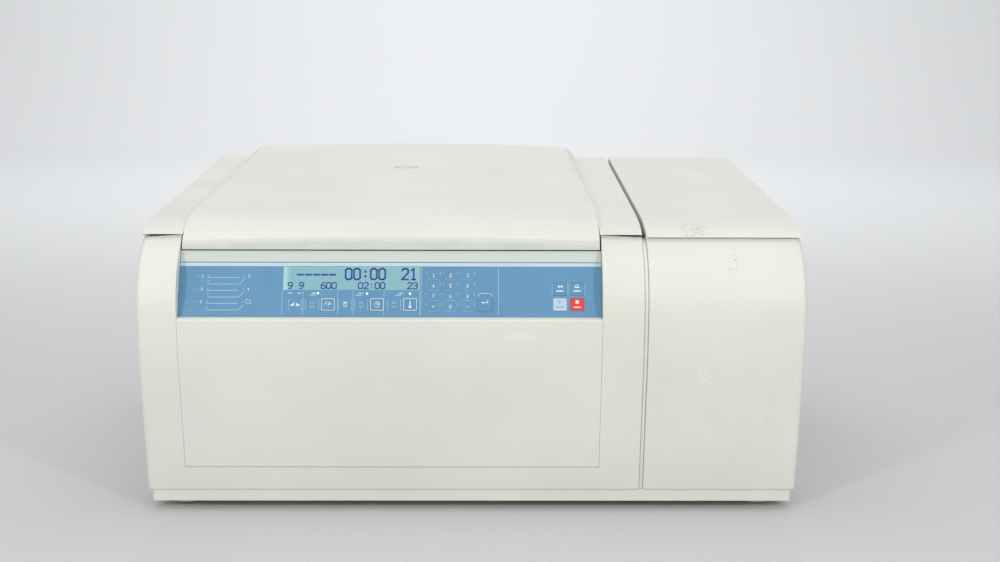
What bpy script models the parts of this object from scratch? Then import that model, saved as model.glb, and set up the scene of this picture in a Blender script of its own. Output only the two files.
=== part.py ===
"""Refrigerated bench-top laboratory centrifuge, lid closed.

Metres, +Z up, front towards -Y, origin on the bench below the middle of the housing.
Left half: drive, rotor chamber, console and lid.  Right half: the cooling unit.
"""
import bmesh
import bpy
from math import atan2, cos, degrees, hypot, pi, radians, sin, tan
from mathutils import Matrix, Vector

# ---- driving dimensions -----------------------------------------------------------------
WIDTH = 0.746
DEPTH = 0.676
LID_TOP = 0.3575                 # highest line of the lid
LEFT, RIGHT = -WIDTH / 2, WIDTH / 2
FRONT, BACK = -DEPTH / 2, DEPTH / 2
HOUSING_BACK = BACK - 0.008      # rear panel's outer face
WALL = 0.0035                    # moulded covers
SHEET = 0.003                    # sheet-metal panels
GAP = 0.0005                     # seam between neighbouring covers
CLEAR = 0.0003                   # touching pieces
SIDE_ROUND = 0.009               # covers' outer upright and top edges
SEAM_ROUND = 0.0015              # covers' edges at the gap between the units
PANEL_INSET = 0.0020             # side panels lie behind the moulded covers' faces

MAIN_RIGHT = 0.1922              # right side of the drive unit
UNIT_LEFT = 0.1968               # left side of the cooling unit
PANEL_LEFT, PANEL_RIGHT = -0.3280, 0.1456
LID_LEFT, LID_RIGHT = -0.3262, 0.1438
LID_MIDDLE = (LID_LEFT + LID_RIGHT) / 2

FOOT_HEIGHT = 0.010
COVER_BOTTOM = 0.0250
PANEL_BOTTOM = 0.0530
BULGE_Z = 0.238                  # height at which the front comes furthest forward
SEAM_Z = 0.3140                  # front covers end, top covers begin
TOP_Z = 0.337                    # flat top of both units
DECK_Z = 0.300                   # deck around the chamber, below the lid
LINER_Z = 0.3095                 # underside of the lid's liner
COVER_DEPTH = 0.080              # how far the front covers reach back along the sides

CHIN_TILT = radians(11.3)        # lower front face leans in
CHIN_RADIUS = 0.358
BROW_RADIUS = 0.080

ROTOR_X, ROTOR_Y = -0.092, 0.100
CHAMBER_RADIUS = 0.195
CHAMBER_FLOOR = 0.1105
PIVOT_RADIUS = 0.095             # bucket trunnions from the rotor axis
PIVOT_Z = 0.215
BUCKET_RADIUS = 0.040
BUCKET_DROP = 0.085              # trunnion to bucket bottom
BUCKET_RISE = 0.020

HINGE_Y, HINGE_Z = BACK - 0.006, 0.340
HINGE_RADIUS = 0.006
HINGE_X = (-0.265, 0.083)        # middles of the two hinges
STRUT_X = (-0.3165, 0.1341)      # gas springs
STRUT_TOP = (0.266, 0.314)       # lid anchor, in Y and Z
STRUT_FOOT = (0.2156, 0.1204)
LATCH_X = (-0.250, 0.066)
LATCH_Y, LATCH_Z = -0.236, 0.238
LATCH_ANGLE = radians(24)        # released position, turned back from locked

CONSOLE_FOOT = (FRONT + 0.010, 0.2342)    # bottom edge of the keypad plane, in Y and Z
CONSOLE_HEAD = (FRONT + 0.0455, 0.3042)   # top edge, under the lid's lip

# ---- materials --------------------------------------------------------------------------
FINISHES = {
    "cream_moulding": ((0.80, 0.75, 0.62), 0.45, 0.0),
    "cream_paint": ((0.78, 0.73, 0.60), 0.50, 0.0),
    "grey_moulding": ((0.48, 0.49, 0.44), 0.50, 0.0),
    "foil_blue": ((0.05, 0.25, 0.55), 0.35, 0.0),
    "key_blue": ((0.04, 0.20, 0.48), 0.35, 0.0),
    "key_light": ((0.45, 0.65, 0.85), 0.35, 0.0),
    "key_red": ((0.80, 0.06, 0.04), 0.35, 0.0),
    "display": ((0.25, 0.60, 0.62), 0.15, 0.0),
    "steel": ((0.62, 0.62, 0.62), 0.30, 1.0),
    "stainless": ((0.70, 0.70, 0.70), 0.22, 1.0),
    "black_paint": ((0.02, 0.02, 0.02), 0.40, 0.0),
    "rubber": ((0.03, 0.03, 0.03), 0.80, 0.0),
    "aluminium": ((0.55, 0.56, 0.58), 0.35, 1.0),
    "black_plastic": ((0.03, 0.03, 0.03), 0.45, 0.0),
    "glass": ((0.80, 0.85, 0.85), 0.05, 0.0),
}


def finish(name):
    """One Principled material for each finish, made once."""
    if name in bpy.data.materials:
        return bpy.data.materials[name]
    colour, roughness, metallic = FINISHES[name]
    mat = bpy.data.materials.new(name)
    mat.use_nodes = True
    shader = mat.node_tree.nodes["Principled BSDF"]
    shader.inputs["Base Color"].default_value = (*colour, 1.0)
    shader.inputs["Roughness"].default_value = roughness
    shader.inputs["Metallic"].default_value = metallic
    mat.diffuse_color = (*colour, 1.0)
    return mat


# ---- modelling helpers ------------------------------------------------------------------
def add_object(name, bm, finish_name, origin=(0, 0, 0), smooth=False):
    """Turn a bmesh in world coordinates into an object whose origin is at origin."""
    bmesh.ops.recalc_face_normals(bm, faces=bm.faces)
    bmesh.ops.translate(bm, verts=bm.verts, vec=-Vector(origin))
    mesh = bpy.data.meshes.new(name)
    bm.to_mesh(mesh)
    bm.free()
    if smooth:
        mesh.shade_smooth()
        mesh.set_sharp_from_angle(angle=radians(35))
    obj = bpy.data.objects.new(name, mesh)
    obj.location = origin
    mesh.materials.append(finish(finish_name))
    bpy.context.scene.collection.objects.link(obj)
    return obj


def axis_frame(axis):
    """Unit vectors (first, second) spanning the plane an outline is drawn in."""
    return {"X": (Vector((0, 1, 0)), Vector((0, 0, 1))),
            "Y": (Vector((1, 0, 0)), Vector((0, 0, 1))),
            "Z": (Vector((1, 0, 0)), Vector((0, 1, 0)))}[axis]


def prism_mesh(outline, axis, low, high):
    """Closed bmesh of a flat outline pulled along an axis from low to high."""
    first, second = axis_frame(axis)
    along = {"X": Vector((1, 0, 0)), "Y": Vector((0, 1, 0)), "Z": Vector((0, 0, 1))}[axis]
    bm = bmesh.new()
    base = [bm.verts.new(first * a + second * b + along * low) for a, b in outline]
    face = bm.faces.new(base)
    pulled = bmesh.ops.extrude_face_region(bm, geom=[face])["geom"]
    moved = [item for item in pulled if isinstance(item, bmesh.types.BMVert)]
    bmesh.ops.translate(bm, verts=moved, vec=along * (high - low))
    return bm


def prism(name, outline, axis, low, high, finish_name, origin=(0, 0, 0), smooth=False):
    return add_object(name, prism_mesh(outline, axis, low, high), finish_name, origin, smooth)


def slab(name, low, high, finish_name, origin=(0, 0, 0)):
    """Rectangular plate or block between two corners."""
    outline = [(low[0], low[1]), (high[0], low[1]), (high[0], high[1]), (low[0], high[1])]
    return prism(name, outline, "Z", low[2], high[2], finish_name, origin)


def turned_mesh(profile, centre, axis="Z", steps=32):
    """Closed profile of (radius, height) turned round an axis through centre."""
    first, second = axis_frame(axis)
    along = {"X": Vector((1, 0, 0)), "Y": Vector((0, 1, 0)), "Z": Vector((0, 0, 1))}[axis]
    bm = bmesh.new()
    rings = []
    for radius, height in profile:
        middle = Vector(centre) + along * height
        if radius == 0:
            rings.append([bm.verts.new(middle)])
            continue
        angles = [2 * pi * step / steps for step in range(steps)]
        rings.append([bm.verts.new(middle + radius * (first * cos(a) + second * sin(a))) for a in angles])
    closed = profile[0][0] > 0 and profile[-1][0] > 0
    pairs = list(zip(rings, rings[1:])) + ([(rings[-1], rings[0])] if closed else [])
    for lower, upper in pairs:
        for step in range(steps):
            after = (step + 1) % steps
            corners = []
            for ring, index in ((lower, step), (lower, after), (upper, after), (upper, step)):
                vert = ring[index] if len(ring) > 1 else ring[0]
                if vert not in corners:
                    corners.append(vert)
            bm.faces.new(corners)
    return bm


def turned(name, profile, centre, finish_name, axis="Z", steps=32, origin=None):
    bm = turned_mesh(profile, centre, axis, steps)
    return add_object(name, bm, finish_name, centre if origin is None else origin, smooth=True)


def rod(name, radius, low, high, finish_name, axis="Z", centre=(0, 0, 0), steps=20, origin=None):
    """Plain round bar from low to high along an axis through centre."""
    return turned(name, [(0, low), (radius, low), (radius, high), (0, high)], centre,
                  finish_name, axis, steps, origin)


def boolean(target, tool, operation):
    tool.hide_render = True
    tool.display_type = "WIRE"
    modifier = target.modifiers.new(operation.lower(), "BOOLEAN")
    modifier.operation = operation
    modifier.solver = "EXACT"
    modifier.object = tool


def cut(target, *tools):
    for tool in tools:
        boolean(target, tool, "DIFFERENCE")


def weld(target, *tools):
    for tool in tools:
        boolean(target, tool, "UNION")


def tool_slab(name, low, high):
    return slab("tool_" + name, low, high, "steel")


def soften(bm, pick, width, segments):
    """Round the edges for which pick(first corner, second corner) is true."""
    edges = [edge for edge in bm.edges if pick(edge.verts[0].co, edge.verts[1].co)]
    bmesh.ops.bevel(bm, geom=edges, offset=width, segments=segments, profile=0.5, affect="EDGES",
                    clamp_overlap=True)


def side_edges(x, limit_y, limit_z):
    """Picks the outline's edges at one end of a cover, except those on its bottom and back."""
    def pick(a, b):
        on_end = abs(a.x - x) < 1e-5 and abs(b.x - x) < 1e-5
        on_bottom = abs(a.z - limit_z) < 1e-5 and abs(b.z - limit_z) < 1e-5
        on_back = abs(a.y - limit_y) < 1e-5 and abs(b.y - limit_y) < 1e-5
        return on_end and not on_bottom and not on_back
    return pick


def round_edges(obj, width, segments, angle=radians(50)):
    modifier = obj.modifiers.new("round", "BEVEL")
    modifier.width = width
    modifier.segments = segments
    modifier.limit_method = "ANGLE"
    modifier.angle_limit = angle


def carry(parent_name, origin, *children):
    """Hang pieces from an empty that sits on their joint's axis."""
    empty = bpy.data.objects.new(parent_name, None)
    empty.location = origin
    bpy.context.scene.collection.objects.link(empty)
    for child in children:
        child.parent = empty
        child.location = Vector(child.location) - Vector(origin)


def arc(centre, radius, start, end, steps):
    """Points on a circle in a plane, from start to end angle in degrees."""
    angles = [radians(start + (end - start) * step / steps) for step in range(steps + 1)]
    return [(centre[0] + radius * cos(a), centre[1] + radius * sin(a)) for a in angles]


def bezier(points, steps):
    """Cubic curve through its end points, given as four (a, b) pairs."""
    curve = []
    for step in range(steps + 1):
        t = step / steps
        weights = ((1 - t) ** 3, 3 * t * (1 - t) ** 2, 3 * t * t * (1 - t), t ** 3)
        curve.append(tuple(sum(w * p[k] for w, p in zip(weights, points)) for k in (0, 1)))
    return curve


# ---- housing outlines, in Y and Z -------------------------------------------------------
def front_curve(inset=0.0, bottom=COVER_BOTTOM, top=SEAM_Z):
    """Front of the housing from bottom to top: leaning chin, bulge, round brow."""
    chin_centre = (FRONT + CHIN_RADIUS, BULGE_Z)
    chin_radius = CHIN_RADIUS - inset
    chin = arc(chin_centre, chin_radius, 180 + degrees(CHIN_TILT), 180, 4)
    lean = (chin[0][1] - bottom) * tan(CHIN_TILT)
    brow_centre = (FRONT + BROW_RADIUS, BULGE_Z)
    brow_radius = BROW_RADIUS - inset
    rise = min(0.999, (top - BULGE_Z) / brow_radius)
    end = 180 - degrees(atan2(rise, (1 - rise * rise) ** 0.5))
    brow = arc(brow_centre, brow_radius, 180, end, 8)
    return [(chin[0][0] + lean, bottom)] + chin + brow[1:]


def panel_curve(inset, bottom, top):
    """The part of the front below the console, from bottom to top."""
    full = front_curve(inset, bottom)
    return [point for point in full if point[1] < top - 0.003] + [(full[5][0], top)]


def nose_curve(start, steps=7):
    """Front of the top covers and of the lid, from the seam up to the flat top."""
    return bezier([start, (start[0] + 0.009, start[1] + 0.0115),
                   (FRONT + 0.095, TOP_Z - 0.0005), (FRONT + 0.150, TOP_Z)], steps)


# ---- base -------------------------------------------------------------------------------
def build_base():
    low = (LEFT + 0.005, FRONT + 0.0385, FOOT_HEIGHT)
    high = (RIGHT - 0.005, HOUSING_BACK - 0.004, COVER_BOTTOM - CLEAR)
    corners = [(low[0], low[1]), (high[0], low[1]), (high[0], high[1]), (low[0], high[1])]
    bm = prism_mesh(corners, "Z", low[2], high[2])
    soften(bm, lambda a, b: abs(a.z - b.z) > 0.001, 0.0025, 2)
    pan = add_object("base_pan", bm, "cream_paint")
    inside = tool_slab("pan_inside", (low[0] + SHEET, low[1] + SHEET, low[2] + SHEET),
                       (high[0] - SHEET, high[1] - SHEET, high[2] + 0.01))
    cut(pan, inside)
    sole = [(0, 0), (0.0195, 0), (0.0225, 0.002), (0.0225, 0.0075), (0.016, FOOT_HEIGHT - CLEAR),
            (0, FOOT_HEIGHT - CLEAR)]
    for side, x in (("left", -0.3345), ("right", 0.3345)):
        for end, y in (("front", FRONT + 0.082), ("rear", BACK - 0.075)):
            turned("foot_%s_%s" % (end, side), sole, (x, y, 0), "grey_moulding", steps=24)


# ---- fixed covers -----------------------------------------------------------------------
def cover_block(name, left, right):
    """Front cover of one unit as a block with the full front curve, its outer end well rounded."""
    back = FRONT + COVER_DEPTH
    bm = prism_mesh(front_curve() + [(back, SEAM_Z), (back, COVER_BOTTOM)], "X", left, right)
    for x in (left, right):
        outer_end = x in (LEFT, RIGHT)
        def pick(a, b, x=x):
            level = abs(a.z - b.z) < 1e-5
            return side_edges(x, back, COVER_BOTTOM)(a, b) and not level
        soften(bm, pick, SIDE_ROUND if outer_end else SEAM_ROUND, 4 if outer_end else 1)
    return add_object(name, bm, "cream_moulding", smooth=True)


def hollow_cover(block, name, left, right, low, high):
    """Hollow a stretch of a front cover from behind, leaving its wall in front."""
    back = FRONT + COVER_DEPTH + 0.02
    outline = front_curve(WALL, low, high) + [(back, high), (back, low)]
    cut(block, prism("tool_" + name, outline, "X", left, right, "cream_moulding"))


def build_front_covers():
    frame = cover_block("front_frame", LEFT, MAIN_RIGHT)
    cut(frame, tool_slab("front_opening", (PANEL_LEFT, FRONT - 0.05, PANEL_BOTTOM),
                         (PANEL_RIGHT, FRONT + 0.2, SEAM_Z + 0.05)))
    low, high = COVER_BOTTOM + WALL, SEAM_Z - WALL
    hollow_cover(frame, "left_cheek", LEFT + WALL, PANEL_LEFT - WALL, low, high)
    hollow_cover(frame, "right_cheek", PANEL_RIGHT + WALL, MAIN_RIGHT - WALL, low, high)
    foot = front_curve()[0][0] + WALL
    back = FRONT + COVER_DEPTH + 0.02
    bar = [(foot, low), (foot - 0.004, PANEL_BOTTOM - WALL), (back, PANEL_BOTTOM - WALL), (back, low)]
    cut(frame, prism("tool_bottom_bar", bar, "X", PANEL_LEFT, PANEL_RIGHT, "cream_moulding"))
    unit = cover_block("unit_front_cover", UNIT_LEFT, RIGHT)
    hollow_cover(unit, "unit_front", UNIT_LEFT + WALL, RIGHT - WALL, low, high)


def build_lower_panel():
    """Smooth service panel below the console, with the ledge that the console stands on."""
    top = CONSOLE_FOOT[1] - 0.0010
    outer = panel_curve(0, PANEL_BOTTOM + GAP, top - 0.0015)
    inner = panel_curve(SHEET, PANEL_BOTTOM + GAP, top - 0.006)
    back = CONSOLE_FOOT[0] + 0.004
    ledge = [(FRONT + 0.0015, top - 0.0003), (back, top), (back, top - 0.006)]
    prism("lower_front_panel", outer + ledge + inner[::-1], "X", PANEL_LEFT + GAP,
          PANEL_RIGHT - GAP, "cream_paint", smooth=True)


def top_block(name, left, right):
    """Top cover of one unit as a block: curved nose in front, flat above."""
    seam = SEAM_Z + GAP
    nose = nose_curve((front_curve()[-1][0], seam))
    bm = prism_mesh(nose + [(HOUSING_BACK, TOP_Z), (HOUSING_BACK, seam)], "X", left, right)
    for x in (left, right):
        width, segments = (SIDE_ROUND, 4) if x in (LEFT, RIGHT) else (SEAM_ROUND, 1)
        soften(bm, side_edges(x, HOUSING_BACK, seam), width, segments)
    return add_object(name, bm, "cream_moulding", smooth=True)


def hollow_top(block, name, left, right):
    """Hollow a top cover from below between two places, leaving its wall above."""
    seam = SEAM_Z + GAP
    nose = nose_curve((front_curve()[-1][0], seam))
    low = seam - 0.02
    outline = [(y + WALL, z - WALL) for y, z in nose]
    outline += [(HOUSING_BACK - WALL, TOP_Z - WALL), (HOUSING_BACK - WALL, low), (nose[0][0] + WALL, low)]
    cut(block, prism("tool_" + name, outline, "X", left, right, "cream_moulding"))


def build_top_covers():
    """Shoulders beside the lid, joined behind it by a lower beam; and the cooling unit's top."""
    cover = top_block("top_cover", LEFT, MAIN_RIGHT)
    well_left, well_right = LID_LEFT - 0.0006, LID_RIGHT + 0.0006
    beam_front, beam_top = HOUSING_BACK - 0.018, 0.318
    hollow_top(cover, "left_shoulder", LEFT + WALL, well_left - WALL)
    hollow_top(cover, "right_shoulder", well_right + WALL, MAIN_RIGHT - WALL)
    cut(cover,
        tool_slab("lid_well", (well_left, FRONT, SEAM_Z - 0.05), (well_right, beam_front, TOP_Z + 0.05)),
        tool_slab("rear_notch", (well_left, beam_front - 0.01, beam_top),
                  (well_right, HOUSING_BACK + 0.05, TOP_Z + 0.06)))
    unit = top_block("unit_top_cover", UNIT_LEFT, RIGHT)
    hollow_top(unit, "unit_top", UNIT_LEFT + WALL, RIGHT - WALL)


def slots(target, name, axis, places, low, high):
    """Row of ventilation slots: the same cutter repeated along a list of places."""
    for index, place in enumerate(places):
        a = [low[0], low[1], low[2]]
        b = [high[0], high[1], high[2]]
        a[axis] += place
        b[axis] += place
        cut(target, tool_slab("%s_%d" % (name, index), a, b))


def build_panels():
    """Left, right and rear sheet-metal panels, and the bulkhead between the units."""
    seam = SEAM_Z
    front = FRONT + COVER_DEPTH + GAP
    bottom = COVER_BOTTOM
    left = slab("left_side_panel", (LEFT + PANEL_INSET, front, bottom),
                (LEFT + PANEL_INSET + SHEET, HOUSING_BACK, seam), "cream_paint")
    slots(left, "left_slot", 2, [0.012 * i for i in range(6)], (LEFT - 0.01, 0.12, 0.060),
          (LEFT + 0.01, 0.27, 0.065))
    plug_hole = rod("tool_plug_hole", 0.0084, -0.01, 0.01, "steel", "X", (LEFT, -0.215, 0.075))
    cut(left, plug_hole)
    right = slab("unit_side_panel", (RIGHT - PANEL_INSET - SHEET, front, bottom),
                 (RIGHT - PANEL_INSET, HOUSING_BACK, seam), "cream_paint")
    slots(right, "right_slot", 2, [0.016 * i for i in range(9)], (RIGHT - 0.01, -0.14, 0.075),
          (RIGHT + 0.01, 0.16, 0.082))
    inner = LEFT + PANEL_INSET + SHEET + GAP
    rear = slab("rear_panel", (inner, HOUSING_BACK - 0.0002 - SHEET, bottom),
                (-inner, HOUSING_BACK - 0.0002, seam), "cream_paint")
    slots(rear, "rear_slot", 2, [0.014 * i for i in range(10)], (0.222, BACK - 0.03, 0.110),
          (0.348, BACK, 0.117))
    inlet_hole = tool_slab("inlet_hole", (-0.3140, BACK - 0.03, 0.0595), (-0.2845, BACK, 0.0805))
    switch_hole = tool_slab("switch_hole", (-0.2655, BACK - 0.03, 0.0595), (-0.2445, BACK, 0.0865))
    cut(rear, inlet_hole, switch_hole)
    curve = front_curve(0.0025, COVER_BOTTOM, 0.300)
    outline = curve + [(HOUSING_BACK - 0.006, 0.300), (HOUSING_BACK - 0.006, COVER_BOTTOM)]
    prism("bulkhead", outline, "X", MAIN_RIGHT + GAP, UNIT_LEFT - GAP, "cream_paint", smooth=True)


# ---- console ----------------------------------------------------------------------------
CONSOLE_RUN = (CONSOLE_HEAD[0] - CONSOLE_FOOT[0], CONSOLE_HEAD[1] - CONSOLE_FOOT[1])
CONSOLE_LENGTH = hypot(*CONSOLE_RUN)
CONSOLE_UP = Vector((0, CONSOLE_RUN[0], CONSOLE_RUN[1])).normalized()
CONSOLE_OUT = Vector((0, -CONSOLE_UP.z, CONSOLE_UP.y))
FOIL_THICKNESS = 0.0012
WINDOW = (-0.2120, -0.0580, 0.0290, 0.0595)       # left, right, low and high on the keypad plane
KEYS = {                                          # centre x and centre height on the plane
    "key_pulse": (0.0984, 0.0315, "key_blue"), "key_open": (0.1176, 0.0315, "key_blue"),
    "key_start": (0.0984, 0.0135, "key_light"), "key_stop": (0.1176, 0.0135, "key_red"),
    "key_speed": (-0.1607, 0.0131, "key_blue"), "key_time": (-0.1060, 0.0131, "key_blue"),
    "key_temp": (-0.0692, 0.0131, "key_blue"), "key_enter": (0.0146, 0.0163, "key_blue"),
}
KEY_SIZE = {"key_enter": (0.0160, 0.0210)}
KEY_DEFAULT = (0.0155, 0.0145)


def on_console(x, height, lift=0.0):
    """World point on the keypad plane, lifted off it by lift."""
    foot = Vector((x, CONSOLE_FOOT[0], CONSOLE_FOOT[1]))
    return foot + CONSOLE_UP * height + CONSOLE_OUT * lift


def console_block(name, rect, low, high, finish_name, origin=(0, 0, 0)):
    """Plate lying on the keypad plane: rect is left, right, bottom and top on the plane."""
    bm = bmesh.new()
    rings = []
    for lift in (low, high):
        corners = ((rect[0], rect[2]), (rect[1], rect[2]), (rect[1], rect[3]), (rect[0], rect[3]))
        rings.append([bm.verts.new(on_console(x, height, lift)) for x, height in corners])
    bm.faces.new(rings[0])
    bm.faces.new(rings[1])
    for step in range(4):
        after = (step + 1) % 4
        bm.faces.new([rings[0][step], rings[0][after], rings[1][after], rings[1][step]])
    return add_object(name, bm, finish_name, origin)


def grow(rect, by):
    return (rect[0] - by, rect[1] + by, rect[2] - by, rect[3] + by)


def build_console():
    left, right = PANEL_LEFT + GAP, PANEL_RIGHT - GAP
    skin = 0.004
    bed = on_console(0, 0, -FOIL_THICKNESS - CLEAR)
    head = on_console(0, CONSOLE_LENGTH, -FOIL_THICKNESS - CLEAR)
    flange = DECK_Z - 0.0005
    outline = [(bed.y, bed.z), (head.y - 0.0015, flange - 0.002), (head.y, flange),
               (FRONT + 0.092, flange), (FRONT + 0.092, flange - skin),
               (head.y + skin, flange - skin), (bed.y + skin + 0.002, bed.z)]
    body = prism("console_body", outline, "X", left, right, "grey_moulding")
    cut(body, console_block("tool_window_bed", grow(WINDOW, 0.002), -0.02, 0.01, "steel"))
    foil_rect = (left, right, 0.0005, CONSOLE_LENGTH - 0.006)
    foil = console_block("keypad_foil", foil_rect, -FOIL_THICKNESS, 0, "foil_blue")
    cut(foil, console_block("tool_window", WINDOW, -0.01, 0.01, "steel"))
    console_block("display_window", grow(WINDOW, -CLEAR), -0.0045, -0.0002, "display")
    for name, (x, height, finish_name) in KEYS.items():
        wide, tall = KEY_SIZE.get(name, KEY_DEFAULT)
        rect = (x - wide / 2, x + wide / 2, height - tall / 2, height + tall / 2)
        cut(foil, console_block("tool_" + name, grow(rect, CLEAR), -0.01, 0.01, "steel"))
        cut(body, console_block("tool_bed_" + name, grow(rect, CLEAR), -0.0035, 0.01, "steel"))
        console_block(name, rect, -0.0022, 0.0003, finish_name, on_console(x, height))


# ---- lid --------------------------------------------------------------------------------
LID_START = (FRONT + 0.0455, 0.3174)
LID_REAR = 0.3252
CREST_Y = LID_REAR - 0.006


def lid_section(y, edge_z, crest_z, wall=0.0, bottom=0.3185):
    """One cross-section of the lid: flat bottom, upright sides, chamfered shoulders, flat crown."""
    rise = max(crest_z - edge_z, 0.0006)
    chamfer = 0.0005 + rise * 0.62
    left, right = LID_LEFT + wall, LID_RIGHT - wall
    shoulder_z, crown_z = crest_z - wall - 0.0022, crest_z - wall
    points = [(left, bottom), (right, bottom), (right, edge_z - wall), (right - chamfer, shoulder_z),
              (right - chamfer - 0.022, crown_z), (left + chamfer + 0.022, crown_z),
              (left + chamfer, shoulder_z), (left, edge_z - wall)]
    return [Vector((x, y, z)) for x, z in points]


def loft(sections):
    """Closed bmesh through cross-sections with the same number of points."""
    bm = bmesh.new()
    rings = [[bm.verts.new(point) for point in section] for section in sections]
    count = len(rings[0])
    for near, far in zip(rings, rings[1:]):
        for step in range(count):
            after = (step + 1) % count
            bm.faces.new([near[step], near[after], far[after], far[step]])
    bm.faces.new(rings[0])
    bm.faces.new(rings[-1])
    return bm


def lid_stations():
    """Y, edge height and crest height of the lid from its front to its rear."""
    stations = [(y, z - 0.0004, z) for y, z in nose_curve(LID_START, 7)]
    ramp_start = stations[-1][0]
    for share in (0.25, 0.5, 0.75, 1.0):
        y = ramp_start + (CREST_Y - ramp_start) * share
        stations.append((y, TOP_Z + 0.0055 * share, TOP_Z + (LID_TOP - TOP_Z) * share))
    stations.append((LID_REAR, TOP_Z + 0.0045, LID_TOP - 0.006))
    return stations


def build_lid():
    bottom = 0.3185
    outer = [lid_section(y, edge, crest, bottom=min(bottom, edge - 0.0025))
             for y, edge, crest in lid_stations()]
    shell = add_object("lid_shell", loft(outer), "cream_moulding", smooth=True)
    inner_stations = [s for s in lid_stations() if FRONT + 0.060 < s[0] < LID_REAR - 0.004]
    inner = [lid_section(*station, wall=WALL, bottom=bottom - 0.02) for station in inner_stations]
    cut(shell, add_object("tool_lid_inside", loft(inner), "cream_moulding"))
    lip_front, lip_back = FRONT + 0.0445, FRONT + 0.0585
    lip = [(lip_front, 0.3028), (lip_front + 0.0010, 0.3140), (lip_front + 0.0030, 0.3142),
           (lip_front + 0.0060, 0.3140), (lip_back, 0.3140), (lip_back, 0.3105),
           (lip_front + 0.004, 0.3028)]
    strip = prism("lid_front_strip", lip, "X", LID_LEFT, LID_RIGHT, "grey_moulding")
    liner_low = (LID_LEFT + 0.0285, FRONT + 0.0690, LINER_Z)
    liner_high = (LID_RIGHT - 0.0285, LID_REAR - 0.020, 0.3225)
    liner = slab("lid_liner", liner_low, liner_high, "grey_moulding")
    round_edges(liner, 0.003, 1)
    block = tool_slab("liner_core", (liner_low[0] + 0.02, FRONT + 0.155, 0.3215),
                      (liner_high[0] - 0.02, liner_high[1] - 0.02, TOP_Z - WALL - CLEAR))
    weld(liner, block)
    port = (ROTOR_X, ROTOR_Y, 0)
    port_top = TOP_Z + (LID_TOP - TOP_Z) * (ROTOR_Y - FRONT - 0.150) / (CREST_Y - FRONT - 0.150)
    port_hole = rod("tool_port", 0.0160, 0.29, 0.37, "steel", "Z", port, 24)
    cut(shell, port_hole)
    cut(liner, port_hole)
    rod("sight_glass", 0.0156, LINER_Z, port_top - 0.0008, "glass", "Z", port, 24)
    strikers = []
    for side, x in zip(("left", "right"), LATCH_X):
        bar_z = LATCH_Z + 0.022
        top_z = LINER_Z - CLEAR
        loop = [(x - 0.014, top_z), (x - 0.014, bar_z), (x + 0.014, bar_z), (x + 0.014, top_z),
                (x + 0.009, top_z), (x + 0.009, bar_z + 0.005), (x - 0.009, bar_z + 0.005),
                (x - 0.009, top_z)]
        striker = prism("lid_striker_" + side, loop, "Y", LATCH_Y - 0.0285, LATCH_Y - 0.0235, "steel")
        plate = tool_slab("striker_plate_" + side, (x - 0.016, LATCH_Y - 0.032, LINER_Z - 0.003),
                          (x + 0.016, LATCH_Y - 0.020, LINER_Z - CLEAR))
        weld(striker, plate)
        strikers.append(striker)
    return [shell, strip, liner, bpy.data.objects["sight_glass"]] + strikers


def knuckle(name, x_low, x_high, leaf, finish_name):
    """Hinge barrel on the lid's axis with a flat leaf, as one outline."""
    barrel = rod(name, HINGE_RADIUS, x_low, x_high, finish_name, "X", (0, HINGE_Y, HINGE_Z), 20,
                 (x_low, HINGE_Y, HINGE_Z))
    weld(barrel, tool_slab(name + "_leaf", (x_low, leaf[0], leaf[1]), (x_high, leaf[2], leaf[3])))
    return barrel


def build_hinges():
    """Each hinge: a housing bracket with two barrels and its pin, and a lid leaf between them."""
    leaves = []
    for side, x in zip(("left", "right"), HINGE_X):
        bracket = knuckle("hinge_bracket_" + side, x - 0.0220, x + 0.0220,
                          (HOUSING_BACK + CLEAR, 0.282, HOUSING_BACK + 0.0033, HINGE_Z), "steel")
        middle = tool_slab("hinge_gap_" + side, (x - 0.0104, HINGE_Y - 0.02, HINGE_Z - HINGE_RADIUS - 0.002),
                           (x + 0.0104, HINGE_Y + 0.02, HINGE_Z + 0.02))
        pin = rod("tool_pin_" + side, 0.0028, x - 0.020, x + 0.020, "steel", "X", (0, HINGE_Y, HINGE_Z), 16)
        cut(bracket, middle)
        weld(bracket, pin)
        leaf = knuckle("hinge_leaf_" + side, x - 0.0100, x + 0.0100,
                       (LID_REAR + CLEAR, HINGE_Z, LID_REAR + 0.0028, 0.3535), "steel")
        bore = rod("tool_bore_" + side, 0.0031, x - 0.030, x + 0.030, "steel", "X", (0, HINGE_Y, HINGE_Z), 16)
        cut(leaf, bore)
        leaves.append(leaf)
    return leaves


def strut_point(along, across=0.0):
    """Point on a gas spring's centre line, measured down from the lid anchor."""
    run = Vector((STRUT_FOOT[0] - STRUT_TOP[0], STRUT_FOOT[1] - STRUT_TOP[1])).normalized()
    side = Vector((-run.y, run.x))
    spot = Vector(STRUT_TOP) + run * along + side * across
    return spot


def strut_bar(name, x, profile, finish_name, steps=14):
    """Round bar turned about a gas spring's centre line; heights run down from the anchor."""
    bm = turned_mesh(profile, (0, 0, 0), "Z", steps)
    run = strut_point(1.0) - strut_point(0.0)
    turn = Matrix.Rotation(atan2(run.x, -run.y), 4, "X")
    flip = Matrix.Rotation(pi, 4, "X")
    bmesh.ops.transform(bm, matrix=turn @ flip, verts=bm.verts)
    anchor = (x, STRUT_TOP[0], STRUT_TOP[1])
    bmesh.ops.translate(bm, verts=bm.verts, vec=anchor)
    return add_object(name, bm, finish_name, anchor, smooth=True)


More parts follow.
